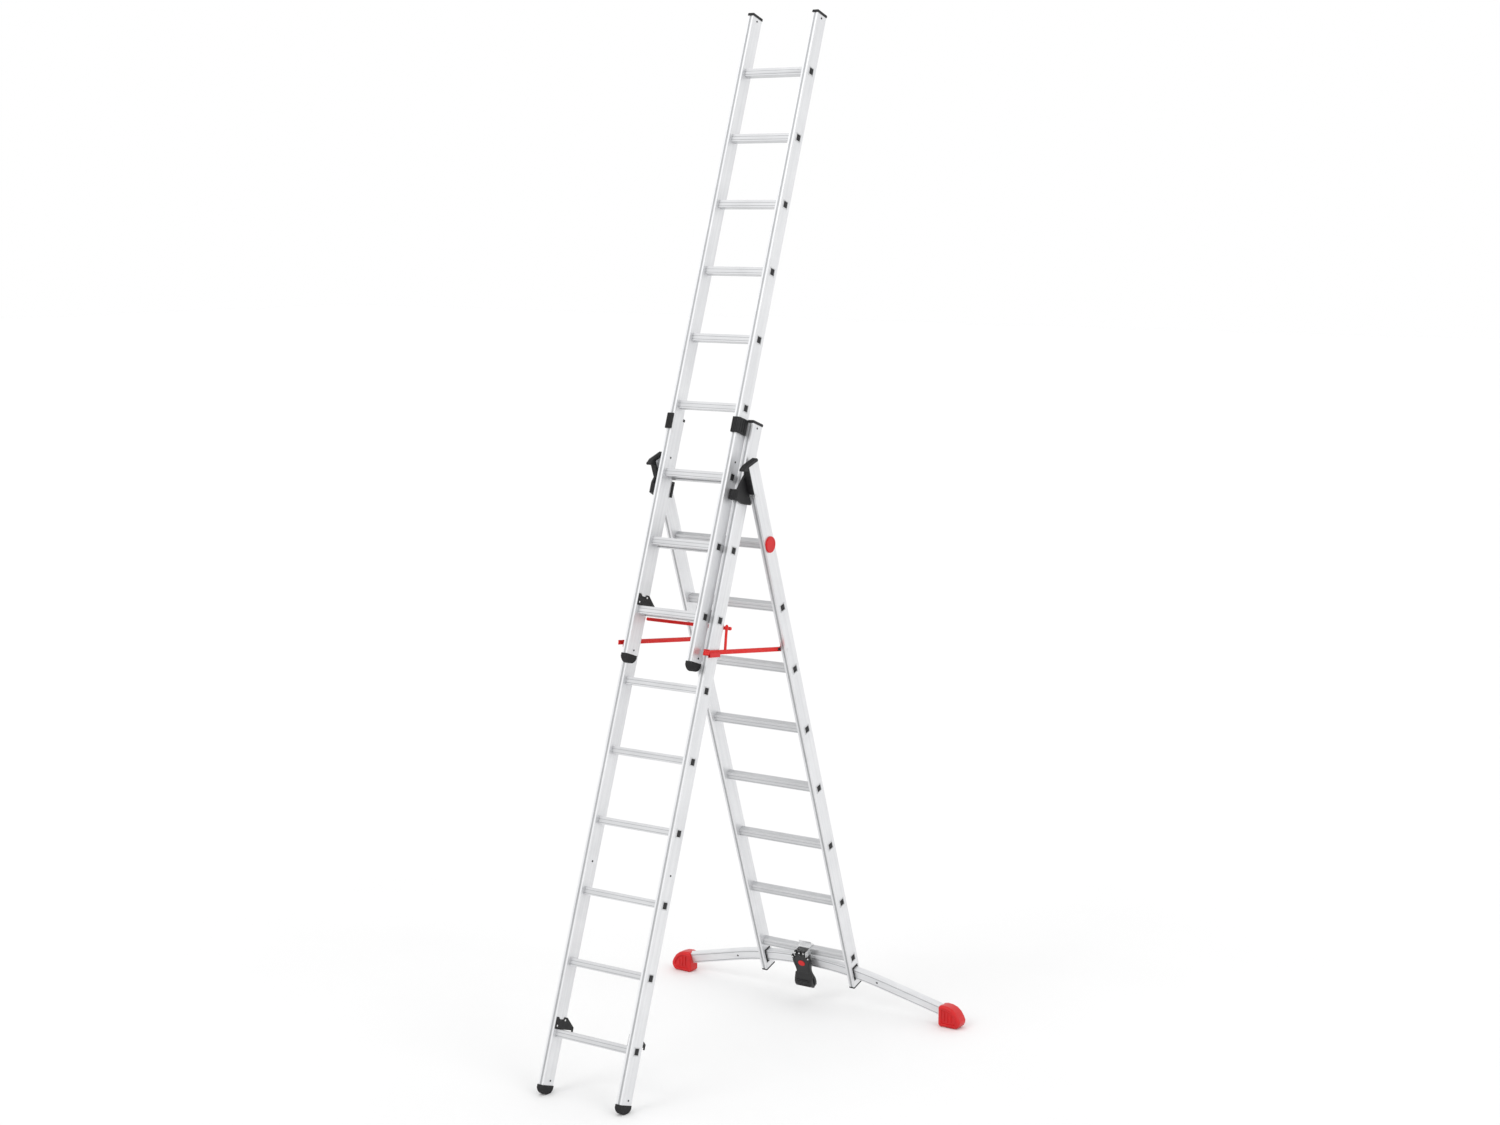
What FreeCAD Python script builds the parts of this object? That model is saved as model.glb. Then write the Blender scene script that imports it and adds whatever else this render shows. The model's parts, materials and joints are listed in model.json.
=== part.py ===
"""Three-section aluminium extension ladder with a curved stabiliser bar, standing as a braced A-frame.

Frame: X across the ladder, Y from the climbing side (-Y) to the prop side (+Y), Z up from the floor.
The origin lies on the floor, midway across the width and midway between the front and the rear.
Each section is drawn in its own upright frame (x across, y front to back, z along its stiles) and is
then leaned by its Placement. Lengths are in millimetres and angles in degrees.
"""
import FreeCAD, Part
import os
import Sketcher
from FreeCAD import Placement, Rotation, Vector

DRIVING = {
    # where the A-frame stands
    "origin_y": -810.03, "lean_front": 18.95, "rear_stand": 233.6517843439,
    # stile profile, the same extrusion in all three sections
    "stile_depth": 65, "stile_thick": 25, "stile_wall": 1.8, "groove_width": 9, "groove_deep": 1.2,
    # lower section's width over its stiles, and how far in, out and forward its neighbours stand
    "lower_width": 407, "nest_side": 33.75, "splay_side": 36.25, "nest_step": 55,
    # rungs
    "rung_pitch": 280, "rung_depth": 30, "rung_height": 30, "rung_wall": 2, "rung_fit": 0.1,
    "flange_size": 35, "flange_thick": 1.2, "rib_wide": 2.2, "rib_deep": 0.7,
    # how far the first rung is from the foot, and the stile end from the last rung
    "first_rung": 239, "head_length": 241, "upper_head": 251, "upper_tail": 217, "raised_steps": 6,
    # rubber feet and end caps
    "foot_height": 36, "foot_radius": 38, "foot_wall": 2, "foot_flat": 1.5, "foot_seat": 22,
    "cap_thick": 12, "cap_round": 4, "plug_length": 22, "plug_gap": 0.4,
    # guides round the upper section's stiles
    "guide_height": 62, "guide_drop": 16, "guide_wall": 7.5, "slide_gap": 1.6, "guide_grip": 24,
    # hook plates
    "hook_thick": 3, "hook_front": 30, "hook_reach": 87, "hook_lip": 10, "hook_top": 62,
    "hook_gap": 0.3, "hook_drop": 9,
    # fold hinge between the lower and the rear section
    "hinge_below": 52, "hinge_back": 27.5, "hinge_above": 222, "hinge_pin": 6, "pin_play": 0.05,
    "collar_thick": 10.4, "collar_wrap": 27,
    # rear section ends
    "rear_head": 138, "rear_tail": 132, "end_cap_thick": 7, "fin_length": 118, "fin_thick": 6,
    "cap_arm": 30,
    # red spreader
    "brace_drop": 682, "brace_front": 22, "catch_over": 146, "brace_thick": 6.4, "brace_height": 18,
    "brace_gap": 1.8, "brace_pin": 4, "brace_boss": 8, "side_gap": 0.3, "post_back": 106,
    "post_height": 96, "post_radius": 7, "knob_radius": 11,
    "catch_wall": 1.6, "catch_length": 68, "catch_play": 0.4,
    # curved stabiliser bar
    "arch_radius": 1500, "arch_top": 32, "arch_half": 15, "arm_length": 300, "bar_height": 48,
    "bar_depth": 26, "bar_wall": 2, "slot_play": 0.8, "liner_wall": 3, "liner_rim": 4,
    "liner_flange": 1.6,
    # stabiliser feet
    "toe_length": 104, "toe_cover": 34, "toe_height": 92, "toe_depth": 62, "toe_round": 22,
    # foot pedal and its saddle over the bottom rear rung
    "saddle_width": 62, "saddle_wall": 3, "saddle_tab": 18, "saddle_front": 46, "saddle_rear": 20,
    "pedal_thick": 16, "pedal_top": 8, "pedal_length": 172, "pedal_width": 92, "pedal_neck": 74,
    "pedal_toe": 100, "pedal_pin": 4, "pedal_pivot": 26, "pedal_gap": 0.8, "toe_rise": 20,
    # badge and rivets
    "badge_radius": 33, "badge_thick": 7, "rivet_radius": 4, "rivet_high": 1.2,
}
RUNGS_LOWER = 9
RUNGS_UPPER = 9
RUNGS_REAR = 8
RUNG_UNDER_CATCH = 6
SIDES = {"left": -1, "right": 1}

# distances that follow from the driving sizes, as expressions
HINGE_RISE = "(hinge_height * cos(lean_front) - hinge_back * sin(lean_front) - rear_stand)"
DERIVED = {
    "upper_width": "lower_width - 2 * nest_side",
    "rear_width": "lower_width + 2 * splay_side",
    "hinge_height": f"first_rung + {RUNGS_LOWER - 1} * rung_pitch - hinge_below",
    "hinge_arm": f"{RUNGS_REAR - 1} * rung_pitch + hinge_above",
    "catch_height": f"first_rung + {RUNG_UNDER_CATCH - 1} * rung_pitch + catch_over",
    # the rear section leans until its bottom rung is rear_stand above the floor
    "lean_rear": (f"(acos({HINGE_RISE} / sqrt(hinge_arm * hinge_arm + hinge_back * hinge_back))"
                  " - atan(hinge_back / hinge_arm)) / 1deg"),
}
HALF_DEPTH = "dims.stile_depth / 2"
LOWER_END = f"dims.first_rung + {RUNGS_LOWER - 1} * dims.rung_pitch + dims.head_length - dims.cap_thick"
UPPER_FIRST = "dims.first_rung + dims.raised_steps * dims.rung_pitch"
UPPER_FOOT = f"{UPPER_FIRST} - dims.upper_tail"
UPPER_END = f"{UPPER_FIRST} + {RUNGS_UPPER - 1} * dims.rung_pitch + dims.upper_head - dims.cap_thick"
HINGE_Y = "dims.origin_y + dims.hinge_height * sin(dims.lean_front) + dims.hinge_back * cos(dims.lean_front)"
HINGE_Z = "dims.hinge_height * cos(dims.lean_front) - dims.hinge_back * sin(dims.lean_front)"
REAR_END = "dims.rear_head - dims.cap_thick"
REAR_FOOT = "-dims.hinge_arm - dims.rear_tail"
ARCH_CENTRE = "-dims.hinge_arm - dims.arch_top - dims.arch_radius"
BRACE_Y = (f"{HINGE_Y} + (dims.hinge_back - dims.brace_front) * cos(dims.lean_rear)"
           " + dims.brace_drop * sin(dims.lean_rear)")
BRACE_Z = (f"{HINGE_Z} + (dims.hinge_back - dims.brace_front) * sin(dims.lean_rear)"
           " - dims.brace_drop * cos(dims.lean_rear)")
CATCH_Y = "dims.origin_y + dims.catch_height * sin(dims.lean_front)"
CATCH_Z = "dims.catch_height * cos(dims.lean_front)"
BRACE_RUN = f"({BRACE_Y} - ({CATCH_Y}))"
BRACE_RISE = f"({CATCH_Z} - ({BRACE_Z}))"
BRACE_LENGTH = f"sqrt({BRACE_RUN} * {BRACE_RUN} + {BRACE_RISE} * {BRACE_RISE})"
BRACE_X = "dims.lower_width / 2 + dims.brace_gap"
PEDAL_Y = "dims.hinge_back - dims.rung_depth / 2 - dims.hook_gap - dims.saddle_wall - dims.pedal_pivot"
PEDAL_Z = "-dims.hinge_arm + 1"

doc = FreeCAD.newDocument("extension_ladder")
nodes = {}


# ---------------------------------------------------------------- document helpers

def add_sheet():
    """Write the driving sizes and what follows from them into the sheet, one cell and one alias each."""
    sheet = doc.addObject("Spreadsheet::Sheet", "dims")
    cells = {alias: str(value) for alias, value in DRIVING.items()}
    cells.update({alias: f"={formula}" for alias, formula in DERIVED.items()})
    for row, (alias, cell) in enumerate(cells.items(), start=1):
        sheet.set(f"A{row}", cell)
        sheet.setAlias(f"A{row}", alias)
    doc.recompute()
    return sheet


def number(owner, expression):
    """Value of an expression, used only as a sketch's first guess."""
    return float(getattr(owner.evalExpression(str(expression)), "Value",
                         owner.evalExpression(str(expression))))


def bind(owner, **expressions):
    """Tie properties to the sheet; a dot in a property path is written as two underscores."""
    for path, expression in expressions.items():
        owner.setExpression(path.replace("__", "."), str(expression))


def tilt(owner, y="0", z="0", angle="0", x="0"):
    """Lean an object about X and carry it to (x, y, z)."""
    owner.Placement = Placement(Vector(), Rotation(Vector(1, 0, 0), 10))
    bind(owner, Placement__Base__x=x, Placement__Base__y=y, Placement__Base__z=z,
         Placement__Rotation__Angle=angle)


def in_front_frame(owner):
    """Stand an object in the leaning frame that the lower and upper sections share."""
    tilt(owner, y="dims.origin_y", angle="-dims.lean_front")


def in_rear_frame(owner):
    """Stand an object in the rear section's frame, whose origin is the fold axis."""
    tilt(owner, y=HINGE_Y, z=HINGE_Z, angle="dims.lean_rear")


def in_brace_frame(owner):
    """Stand an object in the spreader's frame: origin at its rear pivot, -y along the bars."""
    tilt(owner, y=BRACE_Y, z=BRACE_Z, angle=f"-atan({BRACE_RISE} / {BRACE_RUN})")


def keep(name, owner, stand):
    """Label a finished sub-part, place it and list it for export."""
    owner.Label = name
    stand(owner)
    nodes[name] = owner


def add_body(name):
    """An empty PartDesign body for one sub-part."""
    return doc.addObject("PartDesign::Body", f"{name}_body")


def add_sketch(body, role, offset="0"):
    """A sketch on one of the body's own origin planes, moved along the plane's normal."""
    sketch = body.newObject("Sketcher::SketchObject", f"{body.Name}_sketch")
    plane = [feature for feature in body.Origin.OriginFeatures if feature.Role == role][0]
    sketch.AttachmentSupport = [(plane, "")]
    sketch.MapMode = "FlatFace"
    bind(sketch, AttachmentOffset__Base__z=offset)
    return sketch


def outline(sketch, points):
    """Closed run of straight lines whose corners are all tied to expressions."""
    first = sketch.GeometryCount
    count = len(points)
    spots = [Vector(number(sketch, u), number(sketch, v), 0) for u, v in points]
    for index in range(count):
        sketch.addGeometry(Part.LineSegment(spots[index], spots[(index + 1) % count]))
    for index in range(count):
        sketch.addConstraint(Sketcher.Constraint("Coincident", first + index, 2,
                                                 first + (index + 1) % count, 1))
    for index, (u, v) in enumerate(points):
        for kind, value, guess in (("DistanceX", u, spots[index].x), ("DistanceY", v, spots[index].y)):
            row = sketch.addConstraint(Sketcher.Constraint(kind, -1, 1, first + index, 1, guess))
            sketch.setExpression(f"Constraints[{row}]", str(value))


def rectangle(sketch, u, v, wide, high):
    """Rectangle centred on (u, v)."""
    low_u, high_u = f"{u} - ({wide}) / 2", f"{u} + ({wide}) / 2"
    low_v, high_v = f"{v} - ({high}) / 2", f"{v} + ({high}) / 2"
    outline(sketch, [(low_u, low_v), (high_u, low_v), (high_u, high_v), (low_u, high_v)])


def circle(sketch, u, v, radius):
    """Circle centred on (u, v)."""
    centre = Vector(number(sketch, u), number(sketch, v), 0)
    ring = sketch.addGeometry(Part.Circle(centre, Vector(0, 0, 1), number(sketch, radius)))
    for kind, value, guess in (("DistanceX", u, centre.x), ("DistanceY", v, centre.y)):
        row = sketch.addConstraint(Sketcher.Constraint(kind, -1, 1, ring, 3, guess))
        sketch.setExpression(f"Constraints[{row}]", str(value))
    row = sketch.addConstraint(Sketcher.Constraint("Radius", ring, number(sketch, radius)))
    sketch.setExpression(f"Constraints[{row}]", str(radius))


def pad(body, sketch, length, symmetric=False, back=False):
    """Extrude a sketch along its normal, or to both sides of its plane."""
    feature = body.newObject("PartDesign::Pad", f"{sketch.Name}_pad")
    feature.Profile = sketch
    feature.SideType = "Symmetric" if symmetric else "One side"
    feature.Reversed = back
    bind(feature, Length=length)
    return feature


def pocket(body, sketch, length=None):
    """Cut a sketch to both sides of its plane: right through, or over a total length."""
    feature = body.newObject("PartDesign::Pocket", f"{sketch.Name}_pocket")
    feature.Profile = sketch
    feature.SideType = "Symmetric"
    if length is None:
        feature.Type = "ThroughAll"
    else:
        bind(feature, Length=length)
    return feature


def add_box(name, low, size):
    """Part box from its low corner and its three sizes."""
    item = doc.addObject("Part::Box", name)
    bind(item, Length=size[0], Width=size[1], Height=size[2], Placement__Base__x=low[0],
         Placement__Base__y=low[1], Placement__Base__z=low[2])
    return item


def add_rod(name, start, radius, length):
    """Part cylinder that runs along +X from a start point."""
    item = doc.addObject("Part::Cylinder", name)
    item.Placement = Placement(Vector(), Rotation(Vector(0, 1, 0), 90))
    bind(item, Radius=radius, Height=length, Placement__Base__x=start[0],
         Placement__Base__y=start[1], Placement__Base__z=start[2])
    return item


def fuse(name, items):
    """Join several pieces into one solid."""
    item = doc.addObject("Part::MultiFuse", name)
    item.Shapes = items
    item.Refine = True
    return item


def cut(name, base, tool):
    """Take one piece away from another."""
    item = doc.addObject("Part::Cut", name)
    item.Base = base
    item.Tool = tool
    return item


def common(name, items):
    """What several pieces share."""
    item = doc.addObject("Part::MultiCommon", name)
    item.Shapes = items
    return item


def group(name, items):
    """Several separate solids in one node."""
    item = doc.addObject("Part::Compound", name)
    item.Links = items
    return item


def low_edge(side, inner, outer):
    """Smaller x of a span that reaches from inner to outer on one side of the ladder."""
    return inner if side > 0 else f"-({outer})"


# ---------------------------------------------------------------- stiles and rungs

def add_stile(name, side, width, start, end, rung_levels, centre_y, stand, slots=(), bores=()):
    """Hollow grooved stile with a square hole for each rung.

    slots are (y, z, depth, height) windows and bores are (y, z, radius) holes, both right across.
    """
    body = add_body(name)
    middle = f"{side} * ({width} / 2 - dims.stile_thick / 2)"
    profile = add_sketch(body, "XY_Plane", start)
    rectangle(profile, middle, centre_y, "dims.stile_thick", "dims.stile_depth")
    rectangle(profile, middle, centre_y, "dims.stile_thick - 2 * dims.stile_wall",
              "dims.stile_depth - 2 * dims.stile_wall - 2 * dims.groove_deep")
    pad(body, profile, f"{end} - ({start})")
    grooves = add_sketch(body, "XY_Plane", start)
    for face in (-1, 1):
        rectangle(grooves, middle, f"{centre_y} + {face} * {HALF_DEPTH}", "dims.groove_width",
                  "2 * dims.groove_deep")
    pocket(body, grooves)
    windows = add_sketch(body, "YZ_Plane")
    for level in rung_levels:
        rectangle(windows, centre_y, level, "dims.rung_depth + 2 * dims.rung_fit",
                  "dims.rung_height + 2 * dims.rung_fit")
    for y, z, depth, height in slots:
        rectangle(windows, y, z, depth, height)
    for y, z, radius in bores:
        circle(windows, y, z, radius)
    pocket(body, windows)
    keep(name, body, stand)


def add_rung(name, width, level, centre_y, stand):
    """Square tube with a flared rim outside each stile and a ribbed tread on top."""
    body = add_body(name)
    bore_deep = "dims.rung_depth - 2 * dims.rung_wall"
    bore_high = "dims.rung_height - 2 * dims.rung_wall"
    tube = add_sketch(body, "YZ_Plane")
    rectangle(tube, centre_y, level, "dims.rung_depth", "dims.rung_height")
    rectangle(tube, centre_y, level, bore_deep, bore_high)
    pad(body, tube, width, symmetric=True)
    for side in SIDES.values():
        rim = add_sketch(body, "YZ_Plane", f"{side} * {width} / 2")
        rectangle(rim, centre_y, level, "dims.flange_size", "dims.flange_size")
        rectangle(rim, centre_y, level, bore_deep, bore_high)
        pad(body, rim, "dims.flange_thick", back=side < 0)
    tread = add_sketch(body, "YZ_Plane")
    for step in (-1.5, -0.5, 0.5, 1.5):
        rectangle(tread, f"{centre_y} + {step} * dims.rung_depth / 5", f"{level} + dims.rung_height / 2",
                  "dims.rib_wide", "2 * dims.rib_deep")
    pocket(body, tread, f"{width} - 2 * dims.stile_thick")
    keep(name, body, stand)


def rung_levels(first, count):
    """Heights of a section's rungs."""
    return [f"{first} + {index} * dims.rung_pitch" for index in range(count)]


# ---------------------------------------------------------------- feet, caps, guides, hooks

def add_foot(name, side, width, floor, centre_y, on_floor):
    """Rounded rubber foot round a stile's lower end, with a flat tread where it meets the floor."""
    middle = f"{side} * ({width} / 2 - dims.stile_thick / 2)"
    wide = "dims.stile_thick + 2 * dims.foot_wall"
    deep = "dims.stile_depth + 2 * dims.foot_wall"
    centre_z = f"{floor} + (dims.foot_radius - dims.foot_flat) / cos(dims.lean_front)"
    block = add_box(f"{name}_block", (f"{middle} - ({wide}) / 2", f"{centre_y} - ({deep}) / 2",
                                      f"{floor} - 2 * dims.foot_flat"),
                    (wide, deep, "dims.foot_height + 2 * dims.foot_flat"))
    heel = add_rod(f"{name}_heel", (f"{middle} - ({wide}) / 2", centre_y, centre_z), "dims.foot_radius", wide)
    upper = add_box(f"{name}_upper", (f"{middle} - ({wide}) / 2", f"{centre_y} - ({deep}) / 2", centre_z),
                    (wide, deep, "dims.foot_height"))
    rounded = common(f"{name}_rounded", [block, fuse(f"{name}_mass", [heel, upper])])
    seat = add_box(f"{name}_seat", (f"{middle} - dims.stile_thick / 2", f"{centre_y} - {HALF_DEPTH}",
                                    f"{floor} + dims.foot_seat"),
                   ("dims.stile_thick", "dims.stile_depth", "dims.foot_height"))
    shoe = cut(f"{name}_shoe", rounded, seat)
    if not on_floor:
        return shoe
    ground = add_box(f"{name}_ground", (f"{middle} - {wide}", "0", "0"),
                     (f"2 * ({wide})", "200", "100"))
    # the block's level top passes through the frame's origin, which lies on the floor
    tilt(ground, y="100 * sin(dims.lean_front) - 100 * cos(dims.lean_front)",
         z="-100 * sin(dims.lean_front) - 100 * cos(dims.lean_front)",
         angle="dims.lean_front", x=f"{middle} - ({wide})")
    return cut(f"{name}_tread", shoe, ground)


def add_cap(name, side, width, end, centre_y):
    """Flat end cap with a plug that goes down inside the stile."""
    middle = f"{side} * ({width} / 2 - dims.stile_thick / 2)"
    wide = "dims.stile_thick + 2 * dims.foot_wall"
    deep = "dims.stile_depth + 2 * dims.foot_wall"
    inner_wide = "dims.stile_thick - 2 * dims.stile_wall - 2 * dims.plug_gap"
    inner_deep = "dims.stile_depth - 2 * dims.stile_wall - 2 * dims.groove_deep - 2 * dims.plug_gap"
    slab = add_box(f"{name}_slab", (f"{middle} - ({wide}) / 2", f"{centre_y} - ({deep}) / 2", end),
                   (wide, deep, "dims.cap_thick"))
    crown = doc.addObject("Part::Fillet", f"{name}_crown")
    crown.Base = slab
    crown.Edges = [(edge, DRIVING["cap_round"], DRIVING["cap_round"]) for edge in top_edges(slab)]
    plug = add_box(f"{name}_plug", (f"{middle} - ({inner_wide}) / 2", f"{centre_y} - ({inner_deep}) / 2",
                                    f"{end} - dims.plug_length"),
                   (inner_wide, inner_deep, "dims.plug_length"))
    return fuse(name, [crown, plug])


def top_edges(box):
    """Numbers of the four edges round a box's top face."""
    doc.recompute()
    top = box.Shape.BoundBox.ZMax
    return [index for index, edge in enumerate(box.Shape.Edges, start=1)
            if abs(edge.BoundBox.ZMin - top) < 0.001]


def add_guide(name, side):
    """Moulded channel on the lower stile's head that holds the upper stile and lets it slide."""
    body = add_body(name)
    inside = f"{side} * (dims.upper_width / 2 + dims.slide_gap)"
    outside = f"{side} * (dims.lower_width / 2 - dims.stile_thick)"
    tip = f"{side} * (dims.upper_width / 2 - dims.stile_thick)"
    rear = f"{HALF_DEPTH} * -1 + dims.guide_grip"
    gate = f"-dims.nest_step - {HALF_DEPTH} - dims.slide_gap"
    nose = f"{gate} - dims.guide_wall"
    level = f"{LOWER_END} + dims.cap_thick - dims.guide_drop - dims.guide_height"
    profile = add_sketch(body, "XY_Plane", level)
    outline(profile, [(inside, rear), (outside, rear), (outside, f"{nose} + dims.guide_wall"),
                      (f"{outside} - {side} * dims.guide_wall", nose), (tip, nose), (tip, gate),
                      (inside, gate)])
    pad(body, profile, "dims.guide_height")
    keep(name, body, in_front_frame)


def add_hook(name, side, width, first, centre_y):
    """Steel hook plate inside a stile, just above the bottom rung, open downwards at its rear lip."""
    body = add_body(name)
    face = f"{side} * ({width} / 2 - dims.stile_thick)"
    bottom = f"{first} + dims.rung_height / 2 + dims.hook_gap"
    top = f"{first} + dims.hook_top"
    front = f"{centre_y} - dims.hook_front"
    rear = f"{centre_y} + dims.hook_reach"
    sketch = add_sketch(body, "YZ_Plane", face)
    outline(sketch, [
        (front, bottom), (front, top), (f"{front} + 12", top), (f"{front} + 20", f"{top} - 8"),
        (f"{front} + 44", f"{top} - 8"), (f"{front} + 50", f"{top} + 1"), (f"{front} + 66", f"{top} + 1"),
        (rear, f"{bottom} + 12"), (rear, f"{bottom} - dims.hook_drop"),
        (f"{rear} - dims.hook_lip", f"{bottom} - dims.hook_drop"),
        (f"{rear} - dims.hook_lip", bottom)])
    pad(body, sketch, "dims.hook_thick", back=side > 0)
    keep(name, body, in_front_frame)


# ---------------------------------------------------------------- fold hinge

def add_collar(name, side):
    """Black hinge moulding: a cheek on the lower stile's outer face that wraps its front and rear."""
    face = "dims.lower_width / 2"
    outer = f"{face} + dims.collar_thick"
    inner = "dims.upper_width / 2 + dims.slide_gap + 1.5"
    low = "dims.hinge_height - 34"
    body = add_body(f"{name}_cheek")
    sketch = add_sketch(body, "YZ_Plane", f"{side} * {face}")
    front = f"-{HALF_DEPTH}"
    back = HALF_DEPTH
    outline(sketch, [
        (f"{front} - dims.collar_wrap", low), (f"{front} + 20", f"{low} - 8"), (f"{back} + 10", low),
        (f"{back} + 10", f"{low} + 70"), (f"{back} - 6", f"{low} + 110"), (f"{front} + 22", f"{low} + 120"),
        (f"{front} - 2", f"{low} + 100"), (f"{front} - dims.collar_wrap", f"{low} + 44")])
    pad(body, sketch, "dims.collar_thick", back=side < 0)
    front_wrap = add_box(f"{name}_front", (low_edge(side, inner, outer), f"{front} - dims.collar_wrap", low),
                         (f"{outer} - ({inner})", "dims.collar_wrap", "40"))
    rear_wrap = add_box(f"{name}_rear", (low_edge(side, inner, outer), back, f"{low} + 4"),
                        (f"{outer} - ({inner})", "10", "64"))
    rest = fuse(f"{name}_solid", [body, front_wrap, rear_wrap])
    bore = add_rod(f"{name}_bore", (f"{side} * ({face} + dims.collar_thick / 2) - 20", "dims.hinge_back",
                                    "dims.hinge_height"),
                   "dims.hinge_pin + dims.pin_play", "40")
    drilled = cut(f"{name}_drilled", rest, bore)
    size = "dims.flange_size + 1"
    level = f"dims.first_rung + {RUNGS_LOWER - 1} * dims.rung_pitch"
    pocket_x = "dims.flange_thick + dims.hook_gap"
    recess = add_box(f"{name}_recess", (low_edge(side, f"{face} - 1", f"{face} + {pocket_x}"),
                                        f"-({size}) / 2", f"{level} - ({size}) / 2"),
                     (f"1 + {pocket_x}", size, size))
    keep(name, cut(name, drilled, recess), in_front_frame)


def add_rear_cap(name, side):
    """End cap of a rear stile with a fin down its front face and a short arm forwards."""
    body = add_body(name)
    middle = f"{side} * (dims.rear_width / 2 - dims.stile_thick / 2)"
    front = f"dims.hinge_back - {HALF_DEPTH}"
    back = f"dims.hinge_back + {HALF_DEPTH}"
    top = "dims.rear_head"
    sketch = add_sketch(body, "YZ_Plane", middle)
    outline(sketch, [
        (f"{back} + dims.foot_wall", REAR_END), (f"{back} + dims.foot_wall", f"{top} - 3"),
        (f"{back} - 2", top), (f"{front} - 12", top), (f"{front} - dims.cap_arm", f"{top} - 7"),
        (f"{front} - dims.cap_arm", f"{top} - 15"), (f"{front} - dims.fin_thick - 2", f"{top} - 26"),
        (f"{front} - dims.fin_thick", f"{REAR_END} - dims.fin_length + 14"),
        (front, f"{REAR_END} - dims.fin_length"), (front, REAR_END)])
    pad(body, sketch, "dims.stile_thick - 0.6", symmetric=True)
    return body


# ---------------------------------------------------------------- red spreader

def add_brace(name, side):
    """Flat side bar from the rear pivot to the catch, with the post that carries the cross-bar."""
    near = low_edge(side, BRACE_X, f"{BRACE_X} + dims.brace_thick")
    half = "dims.brace_height / 2"
    bar = add_box(f"{name}_bar", (near, f"-{BRACE_LENGTH} - {HALF_DEPTH} - 2", f"-{half}"),
                  ("dims.brace_thick", f"{BRACE_LENGTH} + {HALF_DEPTH} + 2 + 12", "dims.brace_height"))
    post = add_box(f"{name}_post", (near, f"-{BRACE_LENGTH} + dims.post_back - dims.post_radius", half),
                   ("dims.brace_thick", "2 * dims.post_radius", "dims.post_height - dims.brace_height / 2"))
    knob = add_rod(f"{name}_knob", (near, f"-{BRACE_LENGTH} + dims.post_back", "dims.post_height"),
                   "dims.knob_radius", "dims.brace_thick")
    inner = f"{BRACE_X} + dims.brace_thick"
    outer = "dims.rear_width / 2 - dims.stile_thick - dims.side_gap"
    boss = add_rod(f"{name}_boss", (low_edge(side, inner, outer), "0", "0"), "dims.brace_boss",
                   f"{outer} - ({inner})")
    keep(name, fuse(name, [bar, post, knob, boss]), in_brace_frame)


def add_crossbar():
    """Round lifting bar between the two posts."""
    rod = add_rod("spreader_crossbar", (f"-({BRACE_X})", f"-{BRACE_LENGTH} + dims.post_back", "dims.post_height"),
                  "dims.post_radius", f"2 * ({BRACE_X})")
    keep("spreader_crossbar", rod, lambda owner: tilt_rod(owner))


def tilt_rod(owner):
    """Carry the cross-bar, a rod along X, into the spreader's frame."""
    rise = f"atan({BRACE_RISE} / {BRACE_RUN})"
    along = f"(-{BRACE_LENGTH} + dims.post_back)"
    bind(owner, Placement__Base__y=f"{BRACE_Y} + {along} * cos({rise}) + dims.post_height * sin({rise})",
         Placement__Base__z=f"{BRACE_Z} - {along} * sin({rise}) + dims.post_height * cos({rise})")


def add_catch(side):
    """Red channel on the lower stile, open above and in front, that the side bar drops into."""
    name = f"catch_{side}"
    near = "dims.lower_width / 2"
    wide = f"{BRACE_X} + dims.brace_thick + dims.catch_play + dims.catch_wall - ({near})"
    front = f"-{BRACE_LENGTH} - {HALF_DEPTH} - 2 - dims.catch_wall"
    low = "-dims.brace_height / 2 - dims.catch_play - dims.catch_wall"
    tall = "dims.brace_height + dims.catch_play + dims.catch_wall"
    block = add_box(f"{name}_block", (low_edge(side, near, f"{near} + {wide}"), front, low),
                    (wide, "dims.catch_length", tall))
    hollow_x = f"{BRACE_X} - dims.catch_play"
    hollow_wide = "dims.brace_thick + 2 * dims.catch_play"
    hollow = add_box(f"{name}_hollow", (low_edge(side, hollow_x, f"{hollow_x} + {hollow_wide}"),
                                        f"{front} - dims.catch_wall",
                                        "-dims.brace_height / 2 - dims.catch_play"),
                     (hollow_wide, "dims.catch_length + 2 * dims.catch_wall", "2 * dims.brace_height"))
    channel = cut(f"{name}_channel", block, hollow)
    in_brace_frame(channel)
    lip_far = f"{near} + dims.brace_gap - dims.catch_play"
    lip = add_box(f"{name}_lip", (low_edge(side, f"{lip_far} - dims.stile_thick", lip_far),
                                  f"-{HALF_DEPTH} - 5", "dims.catch_height - 12"),
                  ("dims.stile_thick", "5", "24"))
    lip_hold = group(f"{name}_lip_hold", [lip])
    in_front_frame(lip_hold)
    return fuse(name, [channel, lip_hold])


# ---------------------------------------------------------------- curved stabiliser bar

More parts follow.
